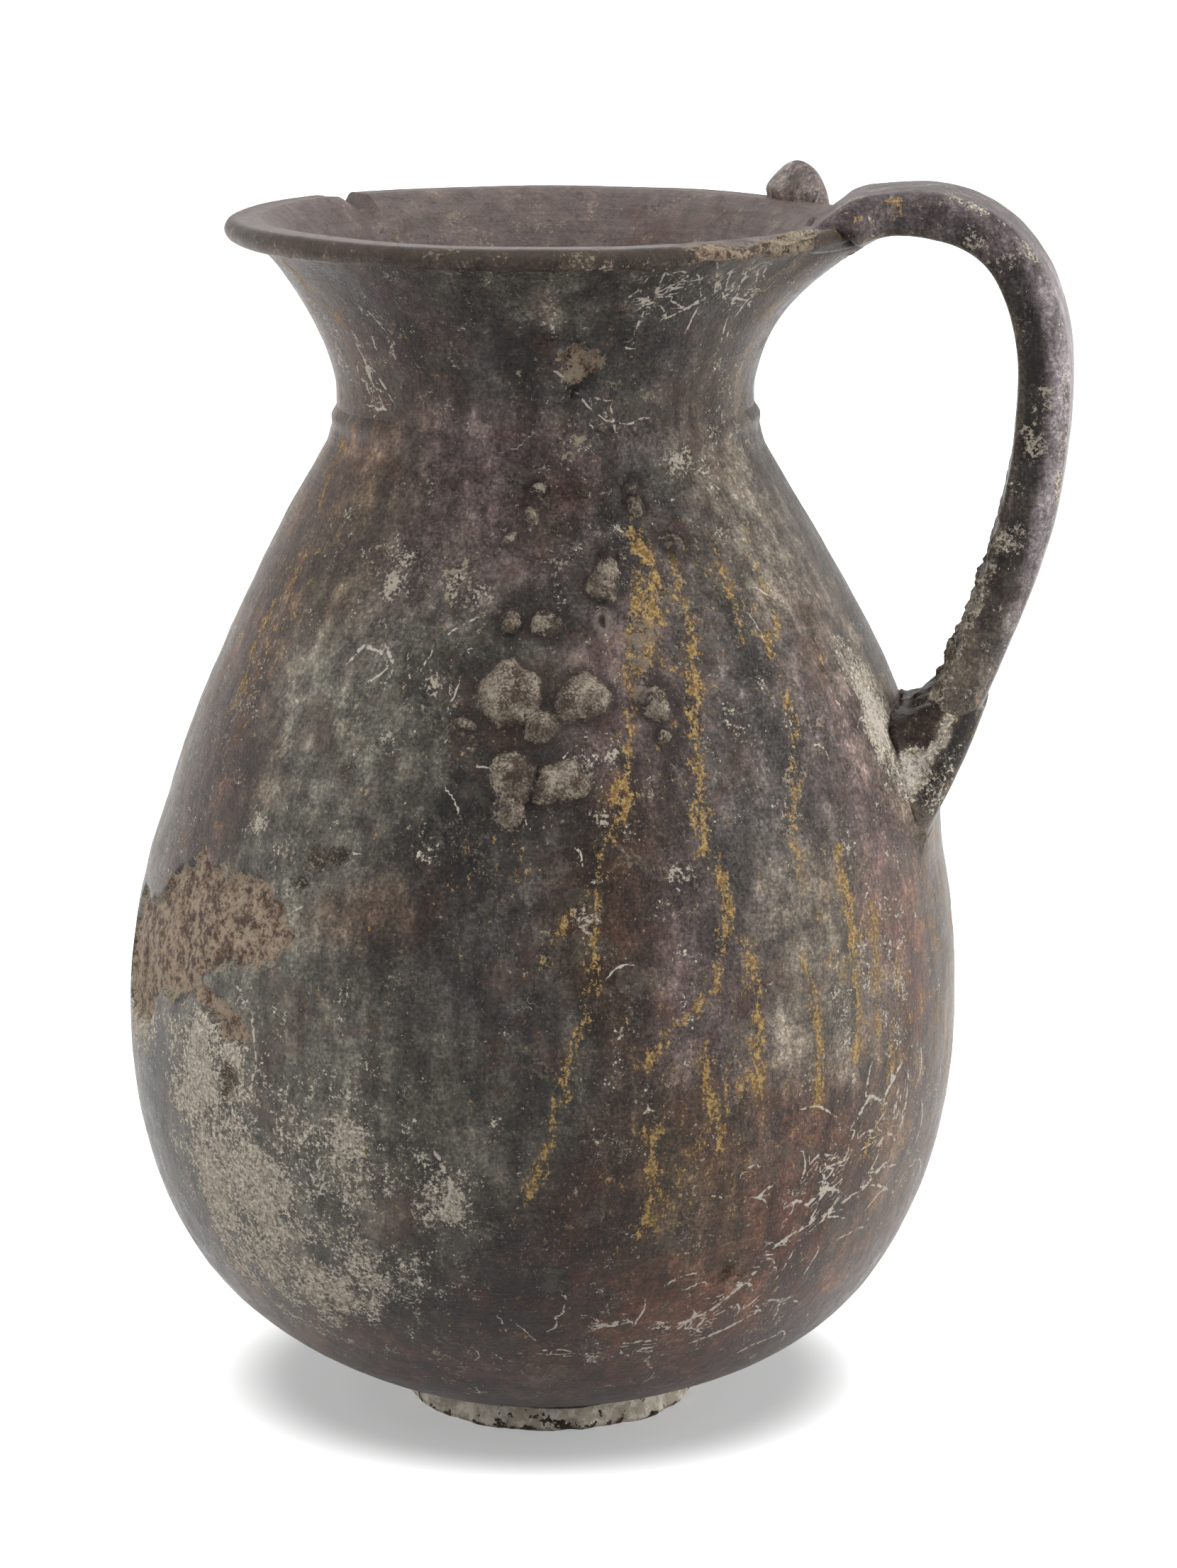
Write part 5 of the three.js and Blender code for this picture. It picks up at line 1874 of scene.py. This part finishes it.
def make_floor():
    mesh = bpy.data.meshes.new("floor")
    corners = [(x * FLOOR_HALF, y * FLOOR_HALF, 0) for x, y in ((-1, -1), (1, -1), (1, 1), (-1, 1))]
    mesh.from_pydata(corners, [], [(0, 1, 2, 3)])
    box = Paint("floor")
    paths = box.node("ShaderNodeLightPath")
    rays = ("Is Camera Ray", "Is Glossy Ray", "Is Transmission Ray")
    seen = box.most(*(paths.outputs[name] for name in rays))
    plain = box.node("ShaderNodeBsdfDiffuse")
    glow = box.node("ShaderNodeEmission")
    glow.inputs["Color"].default_value = grey(1)
    # Painted shadow: to the camera the floor is dimmer and glows less near the jug, and turns white further
    # out
    gap = box.node("ShaderNodeVectorMath", operation="DISTANCE")
    box.put(gap.inputs[0], box.place)
    gap.inputs[1].default_value = PAINTED_SHADOW_MIDDLE
    away = box.step(gap.outputs["Value"], *PAINTED_SHADOW_REACH)
    shown = box.mix(away, grey(FLOOR_PAINTED_SHADOW), grey(FLOOR_LIGHT))
    box.put(plain.inputs["Color"], box.mix(seen, grey(FLOOR_GREY), shown))
    bright = box.sum(FLOOR_GLOW, away, 1.0)
    box.put(glow.inputs["Strength"], box.times(seen, bright))
    both = box.node("ShaderNodeAddShader")
    box.put(both.inputs[0], plain.outputs[0])
    box.put(both.inputs[1], glow.outputs[0])
    out = box.node("ShaderNodeOutputMaterial")
    box.put(out.inputs["Surface"], both.outputs[0])
    mesh.materials.append(box.material)
    floor = bpy.data.objects.new("floor", mesh)
    bpy.context.scene.collection.objects.link(floor)


def make_world(strength):
    world = bpy.data.worlds.new("studio")
    bpy.context.scene.world = world
    world.use_nodes = True
    tree = world.node_tree
    tree.nodes.clear()
    paths = tree.nodes.new("ShaderNodeLightPath")
    first = tree.nodes.new("ShaderNodeMath")
    first.operation = "MAXIMUM"
    second = tree.nodes.new("ShaderNodeMath")
    second.operation = "MAXIMUM"
    tree.links.new(paths.outputs["Is Camera Ray"], first.inputs[0])
    tree.links.new(paths.outputs["Is Glossy Ray"], first.inputs[1])
    tree.links.new(first.outputs[0], second.inputs[0])
    tree.links.new(paths.outputs["Is Transmission Ray"], second.inputs[1])
    level = tree.nodes.new("ShaderNodeMapRange")
    level.inputs["To Min"].default_value = strength
    level.inputs["To Max"].default_value = 1.0
    tree.links.new(second.outputs[0], level.inputs["Value"])
    back = tree.nodes.new("ShaderNodeBackground")
    back.inputs["Color"].default_value = grey(1)
    tree.links.new(level.outputs[0], back.inputs["Strength"])
    out = tree.nodes.new("ShaderNodeOutputWorld")
    tree.links.new(back.outputs[0], out.inputs["Surface"])


def make_lamp(name, place, target, size, power):
    data = bpy.data.lights.new(name, "AREA")
    data.shape = "RECTANGLE"
    data.size, data.size_y = size
    data.energy = power
    lamp = bpy.data.objects.new(name, data)
    bpy.context.scene.collection.objects.link(lamp)
    lamp.location = place
    aim = np.array(target) - np.array(place)
    lamp.rotation_euler = (
        math.atan2(math.hypot(aim[0], aim[1]), -aim[2]),
        0,
        math.atan2(aim[1], aim[0]) - math.pi / 2,
    )


def make_sun():
    data = bpy.data.lights.new("overhead", "SUN")
    data.angle = math.radians(SUN_ANGLE)
    data.energy = OVERHEAD_POWER
    lamp = bpy.data.objects.new("overhead", data)
    bpy.context.scene.collection.objects.link(lamp)
    lamp.rotation_euler = (*np.radians(SUN_TILT), 0)


def make_camera():
    data = bpy.data.cameras.new("camera")
    data.lens = CAMERA_LENS
    camera = bpy.data.objects.new("camera", data)
    bpy.context.scene.collection.objects.link(camera)
    camera.location = CAMERA_PLACE
    camera.rotation_euler = (math.radians(CAMERA_TILT), 0, math.radians(CAMERA_TURN))
    bpy.context.scene.camera = camera


make_floor()
make_world(WORLD_LEVEL)
make_lamp("left_box", LEFT_PLACE, LAMP_AIM, LEFT_SIZE, LEFT_POWER)
make_lamp("right_box", RIGHT_PLACE, LAMP_AIM, RIGHT_SIZE, RIGHT_POWER)
make_sun()
make_camera()
bpy.context.scene.view_settings.view_transform = "Standard"
